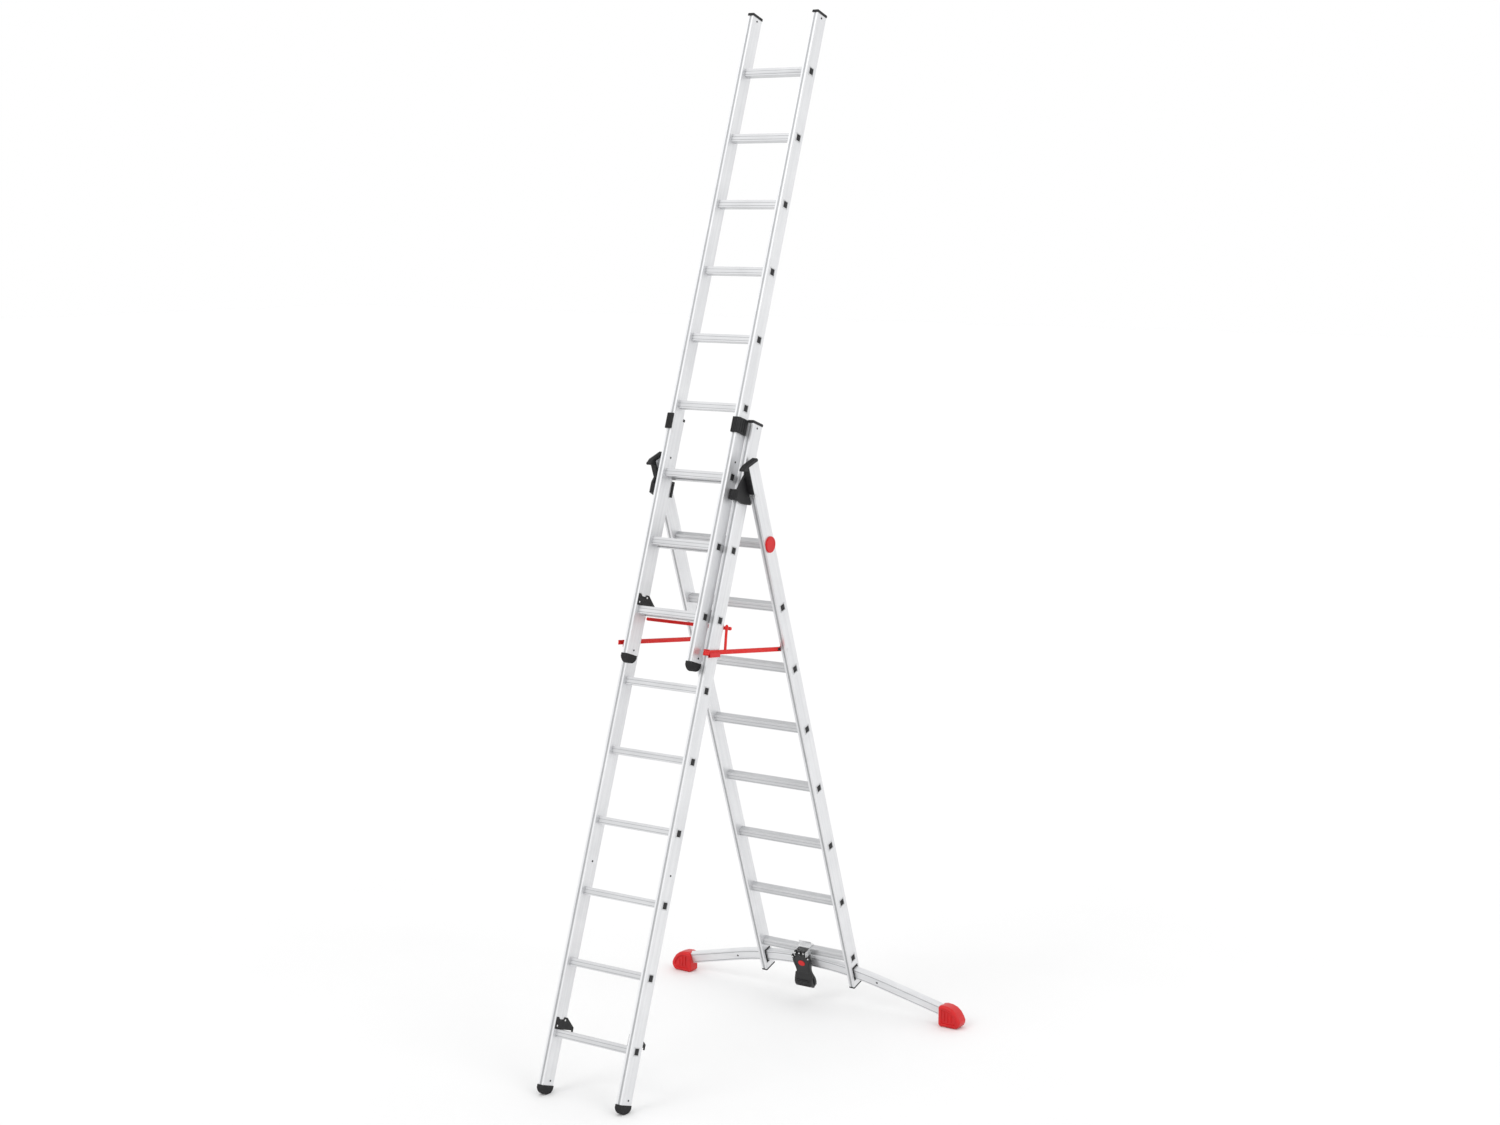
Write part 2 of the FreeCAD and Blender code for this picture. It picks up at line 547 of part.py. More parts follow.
def add_arch(name, inset, depth):
    """Arched bar: an arc over the middle and a straight tangent arm on each side."""
    outer = f"dims.arch_radius - {inset}"
    inner = f"dims.arch_radius - dims.bar_height + {inset}"
    y = f"dims.hinge_back - ({depth}) / 2"
    rings = []
    for label, radius in (("outer", outer), ("inner", inner)):
        ring = doc.addObject("Part::Cylinder", f"{name}_{label}")
        # the cylinder's axis is turned to Y, and its sector is centred on straight up
        ring.Placement = Placement(Vector(), Rotation(Vector(1, 0, 0), 90))
        bind(ring, Radius=radius, Height=depth, Angle="2 * dims.arch_half")
        holder = group(f"{name}_{label}_turn", [ring])
        holder.Placement = Placement(Vector(), Rotation(Vector(0, 1, 0), -90))
        bind(holder, Placement__Base__y=f"{y} + ({depth})", Placement__Base__z=ARCH_CENTRE,
             Placement__Rotation__Angle="-90 + dims.arch_half")
        rings.append(holder)
    arc = cut(f"{name}_arc", rings[0], rings[1])
    arms = []
    for side_name, side in SIDES.items():
        arm = doc.addObject("Part::Box", f"{name}_arm_{side_name}")
        bind(arm, Length="dims.arm_length + 0.2", Width=depth, Height=f"dims.bar_height - 2 * ({inset})")
        start = "-0.2" if side > 0 else "-dims.arm_length"
        bind(arm, Placement__Base__x=start, Placement__Base__y=y, Placement__Base__z=inner)
        holder = group(f"{name}_arm_{side_name}_turn", [arm])
        holder.Placement = Placement(Vector(), Rotation(Vector(0, 1, 0), 10))
        bind(holder, Placement__Base__z=ARCH_CENTRE, Placement__Rotation__Angle=f"{side} * dims.arch_half")
        arms.append(holder)
    return fuse(name, [arc] + arms)


def add_stabiliser():
    """Hollow curved bar."""
    shell = add_arch("bar_outer", "0", "dims.bar_depth")
    hollow = add_arch("bar_inner", "dims.bar_wall", "dims.bar_depth - 2 * dims.bar_wall")
    keep("stabiliser_bar", cut("stabiliser_bar", shell, hollow), in_rear_frame)
    return shell


def add_toe(side, shell):
    """Rounded red foot over one end of the bar, flat where it stands on the floor."""
    name = f"toe_{'left' if side < 0 else 'right'}"
    arm_x = "dims.arch_radius * sin(dims.arch_half)"
    end_x = f"{arm_x} + dims.arm_length * cos(dims.arch_half)"
    near = f"{end_x} - dims.toe_cover"
    local_z = (f"(dims.arch_radius - dims.bar_height / 2) * cos(dims.arch_half)"
               f" - dims.arm_length * sin(dims.arch_half) + {ARCH_CENTRE}")
    world_y = f"{HINGE_Y} + dims.hinge_back * cos(dims.lean_rear) - ({local_z}) * sin(dims.lean_rear)"
    block = add_box(f"{name}_block", (low_edge(side, near, f"{near} + dims.toe_length"),
                                      f"{world_y} - dims.toe_depth / 2", "0"),
                    ("dims.toe_length", "dims.toe_depth", "dims.toe_height"))
    crown = doc.addObject("Part::Fillet", f"{name}_crown")
    crown.Base = block
    doc.recompute()
    top = block.Shape.BoundBox.ZMax
    far = block.Shape.BoundBox.XMax if side > 0 else block.Shape.BoundBox.XMin
    crown.Edges = [(index, DRIVING["toe_round"], DRIVING["toe_round"]) for index, edge in enumerate(block.Shape.Edges, start=1)
                   if abs(edge.BoundBox.ZMin - top) < 0.001
                   or abs(edge.BoundBox.XMin - far) + abs(edge.BoundBox.XMax - far) < 0.001
                   and edge.BoundBox.ZMax > 1]
    placed = group(f"{name}_bar", [shell])
    in_rear_frame(placed)
    return cut(name, crown, placed)


def add_liner(side):
    """Plastic liner of the window that the bar passes through, flanged on both stile faces."""
    name = f"liner_{'left' if side < 0 else 'right'}"
    middle = "dims.rear_width / 2 - dims.stile_thick / 2"
    angle = f"asin(({middle}) / (dims.arch_radius - dims.bar_height / 2))"
    centre_z = f"{ARCH_CENTRE} + (dims.arch_radius - dims.bar_height / 2) * cos({angle})"
    high = "dims.bar_height + 2 * dims.slot_play + 2 * dims.liner_wall"
    deep = "dims.bar_depth + 2 * dims.slot_play + 2 * dims.liner_wall"
    sleeve = add_box(f"{name}_sleeve", (f"{side} * ({middle}) - dims.stile_thick / 2 - dims.liner_flange",
                                        f"dims.hinge_back - ({deep}) / 2", f"{centre_z} - ({high}) / 2"),
                     ("dims.stile_thick + 2 * dims.liner_flange", deep, high))
    pieces = [sleeve]
    for face in (-1, 1):
        flange = add_box(f"{name}_flange_{face + 1}",
                         (f"{side} * ({middle}) + {face} * (dims.stile_thick / 2 + dims.liner_flange / 2)"
                          " - dims.liner_flange / 2",
                          f"dims.hinge_back - ({deep}) / 2 - dims.liner_rim",
                          f"{centre_z} - ({high}) / 2 - dims.liner_rim"),
                         ("dims.liner_flange", f"{deep} + 2 * dims.liner_rim", f"{high} + 2 * dims.liner_rim"))
        pieces.append(flange)
    body = fuse(f"{name}_solid", pieces)
    opening = add_box(f"{name}_opening", ("-40", f"dims.hinge_back - dims.bar_depth / 2 - dims.slot_play",
                                          "dims.arch_radius - dims.bar_height - dims.slot_play"),
                      ("80", "dims.bar_depth + 2 * dims.slot_play", "dims.bar_height + 2 * dims.slot_play"))
    turned = group(f"{name}_turn", [opening])
    turned.Placement = Placement(Vector(), Rotation(Vector(0, 1, 0), 10))
    bind(turned, Placement__Base__z=ARCH_CENTRE, Placement__Rotation__Angle=f"{side} * {angle}")
    return cut(name, body, turned)


def add_rear_shoe(side):
    """Small black cap closing a rear stile's lower end."""
    name = f"rear_shoe_{'left' if side < 0 else 'right'}"
    middle = f"{side} * (dims.rear_width / 2 - dims.stile_thick / 2)"
    wide = "dims.stile_thick + 1"
    deep = "dims.stile_depth + 1"
    inner_wide = "dims.stile_thick - 2 * dims.stile_wall - 2 * dims.plug_gap"
    inner_deep = "dims.stile_depth - 2 * dims.stile_wall - 2 * dims.groove_deep - 2 * dims.plug_gap"
    slab = add_box(f"{name}_slab", (f"{middle} - ({wide}) / 2", f"dims.hinge_back - ({deep}) / 2",
                                    f"{REAR_FOOT} - dims.end_cap_thick"), (wide, deep, "dims.end_cap_thick"))
    plug = add_box(f"{name}_plug", (f"{middle} - ({inner_wide}) / 2", f"dims.hinge_back - ({inner_deep}) / 2",
                                    REAR_FOOT), (inner_wide, inner_deep, "12"))
    return fuse(name, [slab, plug])


# ---------------------------------------------------------------- pedal and saddle

def add_saddle():
    """Steel saddle clipped over the bottom rear rung; its front leg carries the pedal."""
    body = add_body("pedal_saddle")
    rung = "-dims.hinge_arm"
    front = "dims.hinge_back - dims.rung_depth / 2 - dims.hook_gap"
    back = "dims.hinge_back + dims.rung_depth / 2 + dims.hook_gap"
    top = f"{rung} + dims.rung_height / 2 + dims.hook_gap"
    wall = "dims.saddle_wall"
    sketch = add_sketch(body, "YZ_Plane")
    outline(sketch, [
        (front, f"{rung} - dims.saddle_front"), (front, top), (back, top), (back, f"{rung} - dims.saddle_rear"),
        (f"{back} + {wall}", f"{rung} - dims.saddle_rear"), (f"{back} + {wall}", f"{top} + {wall}"),
        (f"dims.hinge_back + {wall}", f"{top} + {wall}"),
        (f"dims.hinge_back + {wall}", f"{top} + {wall} + dims.saddle_tab"),
        ("dims.hinge_back", f"{top} + {wall} + dims.saddle_tab"), ("dims.hinge_back", f"{top} + {wall}"),
        (f"{front} - {wall}", f"{top} + {wall}"), (f"{front} - {wall}", f"{rung} - dims.saddle_front")])
    pad(body, sketch, "dims.saddle_width", symmetric=True)
    ears = []
    for label, side in SIDES.items():
        outer = "dims.saddle_width / 2"
        ears.append(add_box(f"ear_{label}", (low_edge(side, f"{outer} - dims.saddle_wall", outer),
                                             f"{front} - dims.saddle_wall - dims.pedal_pivot - 8",
                                             f"{rung} - 10"),
                            ("dims.saddle_wall", "dims.pedal_pivot + 8.5", "22")))
    solid = fuse("pedal_saddle_solid", [body] + ears)
    bore = add_rod("pedal_saddle_bore", ("-dims.saddle_width", PEDAL_Y, PEDAL_Z),
                   "dims.pedal_pin + dims.pin_play",
                   "2 * dims.saddle_width")
    keep("pedal_saddle", cut("pedal_saddle", solid, bore), in_rear_frame)


def add_pedal():
    """Moulded foot pedal: a neck between the saddle's ears, a waist and a flared toe."""
    body = add_body("foot_pedal_plate")
    top = f"{PEDAL_Z} + dims.pedal_top"
    low = f"{top} - dims.pedal_length"
    neck = "(dims.saddle_width / 2 - dims.saddle_wall - dims.pedal_gap)"
    front = f"-({PEDAL_Y}) + dims.pedal_thick / 2"
    plate = add_sketch(body, "XZ_Plane", f"{front} - dims.pedal_thick")
    half = []
    half.append((neck, top))
    half.append((neck, f"{PEDAL_Z} - 14"))
    half.append(("dims.pedal_width / 2", f"{PEDAL_Z} - 24"))
    half.append(("dims.pedal_width / 2", f"{PEDAL_Z} - 46"))
    half.append(("dims.pedal_neck / 2", f"{PEDAL_Z} - 82"))
    half.append(("dims.pedal_toe / 2", f"{low} + 40"))
    half.append(("dims.pedal_toe / 2", f"{low} + 16"))
    half.append(("dims.pedal_toe / 2 - 16", low))
    outline(plate, half + [(f"-({u})", v) for u, v in reversed(half)])
    pad(body, plate, "dims.pedal_thick")
    toe = add_sketch(body, "YZ_Plane")
    outer = f"{PEDAL_Y} - dims.pedal_thick / 2"
    outline(toe, [(f"{outer} + 1", f"{low} + 62"), (f"{outer} - dims.toe_rise", f"{low} + 30"),
                  (f"{outer} - dims.toe_rise", f"{low} + 10"), (f"{outer} + 1", f"{low} + 2")])
    pad(body, toe, "dims.pedal_toe - 20", symmetric=True)
    bore = add_rod("foot_pedal_bore", ("-dims.saddle_width", PEDAL_Y, PEDAL_Z),
                   "dims.pedal_pin + dims.pin_play", "2 * dims.saddle_width")
    keep("foot_pedal", cut("foot_pedal", body, bore), in_rear_frame)


# ---------------------------------------------------------------- fasteners and badge

def rivet(name, face_x, side, y, z):
    """Low rivet head on a face that looks outwards (side +1) or inwards (side -1) along X."""
    start = face_x if side > 0 else f"{face_x} - dims.rivet_high"
    return add_rod(name, (start, y, z), "dims.rivet_radius", "dims.rivet_high")


def add_section_rivets(name, width, spots, hook_first, centre_y):
    """Rivet heads on both faces of both stiles, and on the hook plates."""
    heads = []
    for label, side in SIDES.items():
        outer = f"{side} * {width} / 2"
        inner = f"{side} * ({width} / 2 - dims.stile_thick)"
        plate = f"{side} * ({width} / 2 - dims.stile_thick - dims.hook_thick)"
        for index, (dy, z) in enumerate(spots):
            heads.append(rivet(f"{name}_{label}_out_{index}", outer, side, f"{centre_y} + {dy}", z))
            heads.append(rivet(f"{name}_{label}_in_{index}", inner, -side, f"{centre_y} + {dy}", z))
        for index, (dy, dz) in enumerate(((-21, 28), (23, 52))):
            heads.append(rivet(f"{name}_{label}_hook_{index}", plate, -side, f"{centre_y} + {dy}",
                               f"{hook_first} + {dz}"))
    keep(name, group(name, heads), in_front_frame)


def add_rear_fasteners():
    """Hinge bolts, spreader pivots and the pedal pin, all carried by the rear section."""
    items = []
    face = "dims.rear_width / 2"
    for label, side in SIDES.items():
        tip = "dims.lower_width / 2 + dims.hook_gap"
        bolt = add_rod(f"bolt_{label}", (low_edge(side, tip, face), "dims.hinge_back", "0"),
                       "dims.hinge_pin", f"{face} - ({tip})")
        # the shank's axis is the fold axis, so it lies at the rear frame's origin
        bind(bolt, Placement__Base__y="0")
        head = add_rod(f"bolt_head_{label}", (low_edge(side, face, f"{face} + 4"), "0", "0"),
                       "dims.hinge_pin + 4", "4")
        items.append(fuse(f"hinge_bolt_{label}", [bolt, head]))
        near = "dims.rear_width / 2 - dims.stile_thick"
        y = "dims.hinge_back - dims.brace_front"
        z = "-dims.brace_drop"
        pin = add_rod(f"pin_{label}", (low_edge(side, near, face), y, z), "dims.brace_pin", f"{face} - ({near})")
        pin_head = add_rod(f"pin_head_{label}", (low_edge(side, face, f"{face} + 2"), y, z),
                           "dims.brace_pin + 2", "2")
        items.append(fuse(f"brace_pin_{label}", [pin, pin_head]))
    items.append(add_rod("pedal_pin_rod", ("-dims.saddle_width / 2 - 2", PEDAL_Y, PEDAL_Z), "dims.pedal_pin",
                         "dims.saddle_width + 4"))
    keep("pivot_pins", group("pivot_pins", items), in_rear_frame)


def add_badge():
    """Plain round disc over the end of the top rear rung on the right."""
    level = f"-dims.hinge_arm + {RUNGS_REAR - 1} * dims.rung_pitch"
    face = "dims.rear_width / 2"
    disc = add_rod("badge_disc", (face, "dims.hinge_back", level), "dims.badge_radius", "dims.badge_thick")
    size = "dims.flange_size + 1"
    recess = add_box("badge_recess", (f"{face} - 1", f"dims.hinge_back - ({size}) / 2",
                                      f"{level} - ({size}) / 2"),
                     ("dims.flange_thick + 1.2", size, size))
    keep("badge", cut("badge", disc, recess), in_rear_frame)


# ---------------------------------------------------------------- sections

def build_lower():
    """Front lower section: the body that everything else is carried by."""
    levels = rung_levels("dims.first_rung", RUNGS_LOWER)
    for label, side in SIDES.items():
        add_stile(f"lower_stile_{label}", side, "dims.lower_width", "dims.foot_seat", LOWER_END, levels,
                  "0", in_front_frame)
        keep(f"lower_foot_{label}", add_foot(f"lower_foot_{label}", side, "dims.lower_width", "0", "0", True),
             in_front_frame)
        add_guide(f"guide_{label}", side)
        add_hook(f"lower_hook_{label}", side, "dims.lower_width", "dims.first_rung", "0")
        add_collar(f"hinge_collar_{label}", side)
    for index, level in enumerate(levels, start=1):
        add_rung(f"lower_rung_{index}", "dims.lower_width", level, "0", in_front_frame)
    caps = [add_cap(f"lower_cap_{label}", side, "dims.lower_width", LOWER_END, "0")
            for label, side in SIDES.items()]
    keep("lower_top_caps", group("lower_top_caps", caps), in_front_frame)
    catches = [add_catch(side) for side in SIDES.values()]
    keep("spreader_catches", group("spreader_catches", catches), lambda owner: None)
    add_section_rivets("lower_rivets", "dims.lower_width",
                       ((8, "54"), (f"(dims.guide_grip + 8.5 - {HALF_DEPTH})", f"{LOWER_END} - 14"),
                        (0, "dims.first_rung + 676")),
                       "dims.first_rung", "0")


def build_upper():
    """Upper section, raised in front of the lower one and hooked on a rung."""
    middle = "-dims.nest_step"
    levels = rung_levels(UPPER_FIRST, RUNGS_UPPER)
    feet = []
    caps = []
    for label, side in SIDES.items():
        add_stile(f"upper_stile_{label}", side, "dims.upper_width", f"{UPPER_FOOT} + dims.foot_seat",
                  UPPER_END, levels, middle, in_front_frame)
        add_hook(f"upper_hook_{label}", side, "dims.upper_width", UPPER_FIRST, middle)
        feet.append(add_foot(f"upper_foot_{label}", side, "dims.upper_width", UPPER_FOOT, middle, False))
        caps.append(add_cap(f"upper_cap_{label}", side, "dims.upper_width", UPPER_END, middle))
    for index, level in enumerate(levels, start=1):
        add_rung(f"upper_rung_{index}", "dims.upper_width", level, middle, in_front_frame)
    keep("upper_feet", group("upper_feet", feet), in_front_frame)
    keep("upper_top_caps", group("upper_top_caps", caps), in_front_frame)
    add_section_rivets("upper_rivets", "dims.upper_width",
                       ((8, f"{UPPER_FOOT} + 54"), (0, f"{UPPER_END} - 14"), (0, f"{UPPER_FIRST} + 621")),
                       UPPER_FIRST, middle)


def build_rear():
    """Rear prop section with the stabiliser bar and its pedal."""
    levels = rung_levels("-dims.hinge_arm", RUNGS_REAR)
    middle = "dims.rear_width / 2 - dims.stile_thick / 2"
    angle = f"asin(({middle}) / (dims.arch_radius - dims.bar_height / 2))"
    window_z = f"{ARCH_CENTRE} + (dims.arch_radius - dims.bar_height / 2) * cos({angle})"
    window = ("dims.hinge_back", window_z, "dims.bar_depth + 2 * dims.slot_play + 2 * dims.liner_wall",
              "dims.bar_height + 2 * dims.slot_play + 2 * dims.liner_wall")
    bores = (("0", "0", "dims.hinge_pin + dims.pin_play"),
             ("dims.hinge_back - dims.brace_front", "-dims.brace_drop", "dims.brace_pin + dims.pin_play"))
    for label, side in SIDES.items():
        add_stile(f"rear_stile_{label}", side, "dims.rear_width", REAR_FOOT, REAR_END, levels,
                  "dims.hinge_back", in_rear_frame, slots=(window,), bores=bores)
    for index, level in enumerate(levels, start=1):
        add_rung(f"rear_rung_{index}", "dims.rear_width", level, "dims.hinge_back", in_rear_frame)
    caps = [add_rear_cap(f"rear_cap_{label}", side) for label, side in SIDES.items()]
    keep("rear_top_caps", group("rear_top_caps", caps), in_rear_frame)
    keep("rear_end_caps", group("rear_end_caps", [add_rear_shoe(side) for side in SIDES.values()]),
         in_rear_frame)
    keep("slot_liners", group("slot_liners", [add_liner(side) for side in SIDES.values()]), in_rear_frame)
    add_saddle()
    add_rear_fasteners()
    add_badge()


def build_moving():
    """Spreader, stabiliser and pedal."""
    for label, side in SIDES.items():
        add_brace(f"spreader_bar_{label}", side)
    add_crossbar()
    shell = add_stabiliser()
    keep("stabiliser_feet", group("stabiliser_feet", [add_toe(side, shell) for side in SIDES.values()]),
         lambda owner: None)
    add_pedal()


def check_document():
    """Stop if any object failed or any sub-part has no sound shape."""
    for item in doc.Objects:
        if "Invalid" in item.State or "Error" in item.State:
            raise RuntimeError(f"{item.Name} failed: {item.State}")
    for name, item in nodes.items():
        if item.Shape.isNull() or not item.Shape.isValid() or not item.Shape.Solids:
            raise RuntimeError(f"{name} has no valid solid")


def export_parts():
    """Write each sub-part to its own STEP file."""
    os.makedirs("parts", exist_ok=True)
    for name, item in nodes.items():
        item.Shape.exportStep(f"parts/{name}.step")


add_sheet()
build_lower()
build_upper()
build_rear()
build_moving()
doc.recompute()
check_document()
export_parts()
print(len(nodes), "sub-parts,", sum(len(item.Shape.Solids) for item in nodes.values()), "solids")
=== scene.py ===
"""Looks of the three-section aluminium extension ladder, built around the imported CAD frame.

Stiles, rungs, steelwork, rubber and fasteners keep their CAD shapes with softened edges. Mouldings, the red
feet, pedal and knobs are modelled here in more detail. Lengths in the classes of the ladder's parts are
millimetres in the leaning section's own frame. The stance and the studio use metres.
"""

import json
import logging
import math
from dataclasses import dataclass, field
from enum import Enum
from typing import Callable, Iterable, Optional, Sequence

import bmesh
import bpy
from mathutils import Matrix, Vector

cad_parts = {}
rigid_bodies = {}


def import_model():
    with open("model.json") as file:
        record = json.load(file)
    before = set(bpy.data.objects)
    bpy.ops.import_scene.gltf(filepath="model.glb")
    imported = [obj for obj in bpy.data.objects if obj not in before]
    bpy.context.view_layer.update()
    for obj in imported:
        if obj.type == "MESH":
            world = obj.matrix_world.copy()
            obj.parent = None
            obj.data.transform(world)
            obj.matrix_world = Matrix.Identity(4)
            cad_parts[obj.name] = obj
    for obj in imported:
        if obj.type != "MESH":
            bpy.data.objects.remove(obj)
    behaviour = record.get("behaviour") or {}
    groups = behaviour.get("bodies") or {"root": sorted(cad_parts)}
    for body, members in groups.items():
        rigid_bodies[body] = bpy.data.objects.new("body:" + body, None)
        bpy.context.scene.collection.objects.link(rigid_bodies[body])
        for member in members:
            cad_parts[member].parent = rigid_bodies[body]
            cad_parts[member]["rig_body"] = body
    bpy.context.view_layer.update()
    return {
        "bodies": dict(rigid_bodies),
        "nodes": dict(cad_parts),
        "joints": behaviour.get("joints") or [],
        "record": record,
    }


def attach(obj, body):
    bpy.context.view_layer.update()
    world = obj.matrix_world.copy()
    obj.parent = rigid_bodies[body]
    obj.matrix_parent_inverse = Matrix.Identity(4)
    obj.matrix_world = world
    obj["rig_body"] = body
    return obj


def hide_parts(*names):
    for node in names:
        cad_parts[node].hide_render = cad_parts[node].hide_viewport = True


log = logging.getLogger("ladder")
MM = 0.001
SIDES = {"left": -1.0, "right": 1.0}
TO_METRES = Matrix.Scale(MM, 4)
SMOOTH_BELOW = math.radians(40.0)
ROUND_ABOVE = 0.5
SAME_POINT = 0.00001
FLAT_BELOW = math.radians(0.5)
PLAIN = (1, 1, 1)


# ------------------------------------------------------------------ finishes

class Grain(Enum):
    """Direction in which an extruded or rolled surface carries its fine drawing lines."""

    ALONG_FRONT = "front"
    ALONG_REAR = "rear"
    ALONG_X = "across"
    NONE = "none"


class Tree:
    """Small helper that adds and links shader nodes for one material."""

    def __init__(self, name: str) -> None:
        """Start an empty node material.

        Args:
            name: Name of the material.
        """
        self.material = bpy.data.materials.new(name)
        self.material.use_nodes = True
        self.nodes = self.material.node_tree.nodes
        self.links = self.material.node_tree.links
        self.nodes.clear()
        self.output = self.nodes.new("ShaderNodeOutputMaterial")
        self.shader = self.nodes.new("ShaderNodeBsdfPrincipled")
        self.links.new(self.shader.outputs["BSDF"], self.output.inputs["Surface"])
        self.coordinates = self.nodes.new("ShaderNodeTexCoord").outputs["Object"]

    def mapped(self, scale: Sequence[float], turn: Sequence[float] = (0, 0, 0),
               shift: Sequence[float] = (0, 0, 0)) -> bpy.types.NodeSocket:
        """Object coordinates turned, then scaled.

        Args:
            scale: Scale along the turned axes.
            turn: Euler angles in degrees, applied before the scale.
            shift: Offset added at the end, to start a pattern elsewhere.

        Returns:
            The vector output to feed to a texture.
        """
        first = self.nodes.new("ShaderNodeMapping")
        first.inputs["Rotation"].default_value = [math.radians(angle) for angle in turn]
        self.links.new(self.coordinates, first.inputs["Vector"])
        second = self.nodes.new("ShaderNodeMapping")
        second.inputs["Scale"].default_value = scale
        second.inputs["Location"].default_value = shift
        self.links.new(first.outputs["Vector"], second.inputs["Vector"])
        return second.outputs["Vector"]

    def noise(self, vector: bpy.types.NodeSocket, scale: float, detail: float = 3.0,
              rough: float = 0.55) -> bpy.types.NodeSocket:
        """Noise texture factor.

        Args:
            vector: Coordinates.
            scale: Texture scale.
            detail: Octaves of detail.
            rough: How strong the finer octaves are.

        Returns:
            The factor output, 0 to 1.
        """
        node = self.nodes.new("ShaderNodeTexNoise")
        node.inputs["Scale"].default_value = scale
        node.inputs["Detail"].default_value = detail
        node.inputs["Roughness"].default_value = rough
        self.links.new(vector, node.inputs["Vector"])
        return node.outputs["Fac"]

    def cells(self, vector: bpy.types.NodeSocket, scale: float) -> bpy.types.NodeSocket:
        """Distance output of a Voronoi texture, for moulded pebble grain."""
        node = self.nodes.new("ShaderNodeTexVoronoi")
        node.inputs["Scale"].default_value = scale
        self.links.new(vector, node.inputs["Vector"])
        return node.outputs["Distance"]

    def ramp(self, factor: bpy.types.NodeSocket, low: float, high: float,
             dark: Sequence[float], light: Sequence[float]) -> bpy.types.NodeSocket:
        """Colour ramp between two stops.

        Args:
            factor: Value that drives the ramp.
            low: Position of the first stop.
            high: Position of the second stop.
            dark: RGB at the first stop.
            light: RGB at the second stop.

        Returns:
            The colour output.
        """
        node = self.nodes.new("ShaderNodeValToRGB")
        node.color_ramp.elements[0].position = low
        node.color_ramp.elements[1].position = high
        node.color_ramp.elements[0].color = (*dark, 1.0)
        node.color_ramp.elements[1].color = (*light, 1.0)
        self.links.new(factor, node.inputs["Fac"])
        return node.outputs["Color"]

    def span(self, factor: bpy.types.NodeSocket, low: float, high: float) -> bpy.types.NodeSocket:
        """Map a 0 to 1 factor to the range low to high."""
        node = self.nodes.new("ShaderNodeMapRange")
        node.inputs["To Min"].default_value = low
        node.inputs["To Max"].default_value = high
        self.links.new(factor, node.inputs["Value"])
        return node.outputs["Result"]

    def math(self, operation: str, first: bpy.types.NodeSocket,
             second: bpy.types.NodeSocket | float) -> bpy.types.NodeSocket:
        """Math node of two values.

        Args:
            operation: Blender's name of the operation.
            first: First value.
            second: Second value, a socket or a number.

        Returns:
            The result socket.
        """
        node = self.nodes.new("ShaderNodeMath")
        node.operation = operation
        self.links.new(first, node.inputs[0])
        if isinstance(second, (int, float)):
            node.inputs[1].default_value = second
        else:
            self.links.new(second, node.inputs[1])
        return node.outputs["Value"]

    def blend(self, factor: bpy.types.NodeSocket, base: bpy.types.NodeSocket,
              over: bpy.types.NodeSocket, mode: str = "MIX") -> bpy.types.NodeSocket:
        """Mix two colours by a factor.

        Args:
            factor: 0 keeps base, 1 gives over.
            base: Colour below.
            over: Colour above.
            mode: Blend type.

        Returns:
            The mixed colour.
        """
        node = self.nodes.new("ShaderNodeMix")
        node.data_type = "RGBA"
        node.blend_type = mode
        self.links.new(factor, node.inputs["Factor"])
        self.links.new(base, node.inputs["A"])
        self.links.new(over, node.inputs["B"])
        return node.outputs["Result"]

    def edges(self, low: float, high: float) -> bpy.types.NodeSocket:
        """Pointiness stretched to 0 to 1, bright on worn outer edges."""
        geometry = self.nodes.new("ShaderNodeNewGeometry")
        node = self.nodes.new("ShaderNodeMapRange")
        node.inputs["From Min"].default_value = low
        node.inputs["From Max"].default_value = high
        self.links.new(geometry.outputs["Pointiness"], node.inputs["Value"])
        return node.outputs["Result"]

    def colour(self, socket: bpy.types.NodeSocket) -> None:
        """Feed the base colour."""
        self.links.new(socket, self.shader.inputs["Base Color"])

    def roughness(self, socket: bpy.types.NodeSocket) -> None:
        """Feed the roughness."""
        self.links.new(socket, self.shader.inputs["Roughness"])

    def bump(self, height: bpy.types.NodeSocket, strength: float, distance: float) -> None:
        """Feed the normal from a height.

        Args:
            height: Height value.
            strength: Bump strength.
            distance: Height of the relief in metres.
        """
        node = self.nodes.new("ShaderNodeBump")
        node.inputs["Strength"].default_value = strength
        node.inputs["Distance"].default_value = distance
        self.links.new(height, node.inputs["Height"])
        self.links.new(node.outputs["Normal"], self.shader.inputs["Normal"])

    def constants(self, **values: float) -> None:
        """Set shader sockets to plain numbers; an underscore in a name stands for a space."""
        for name, value in values.items():
            self.shader.inputs[name.replace("_", " ")].default_value = value


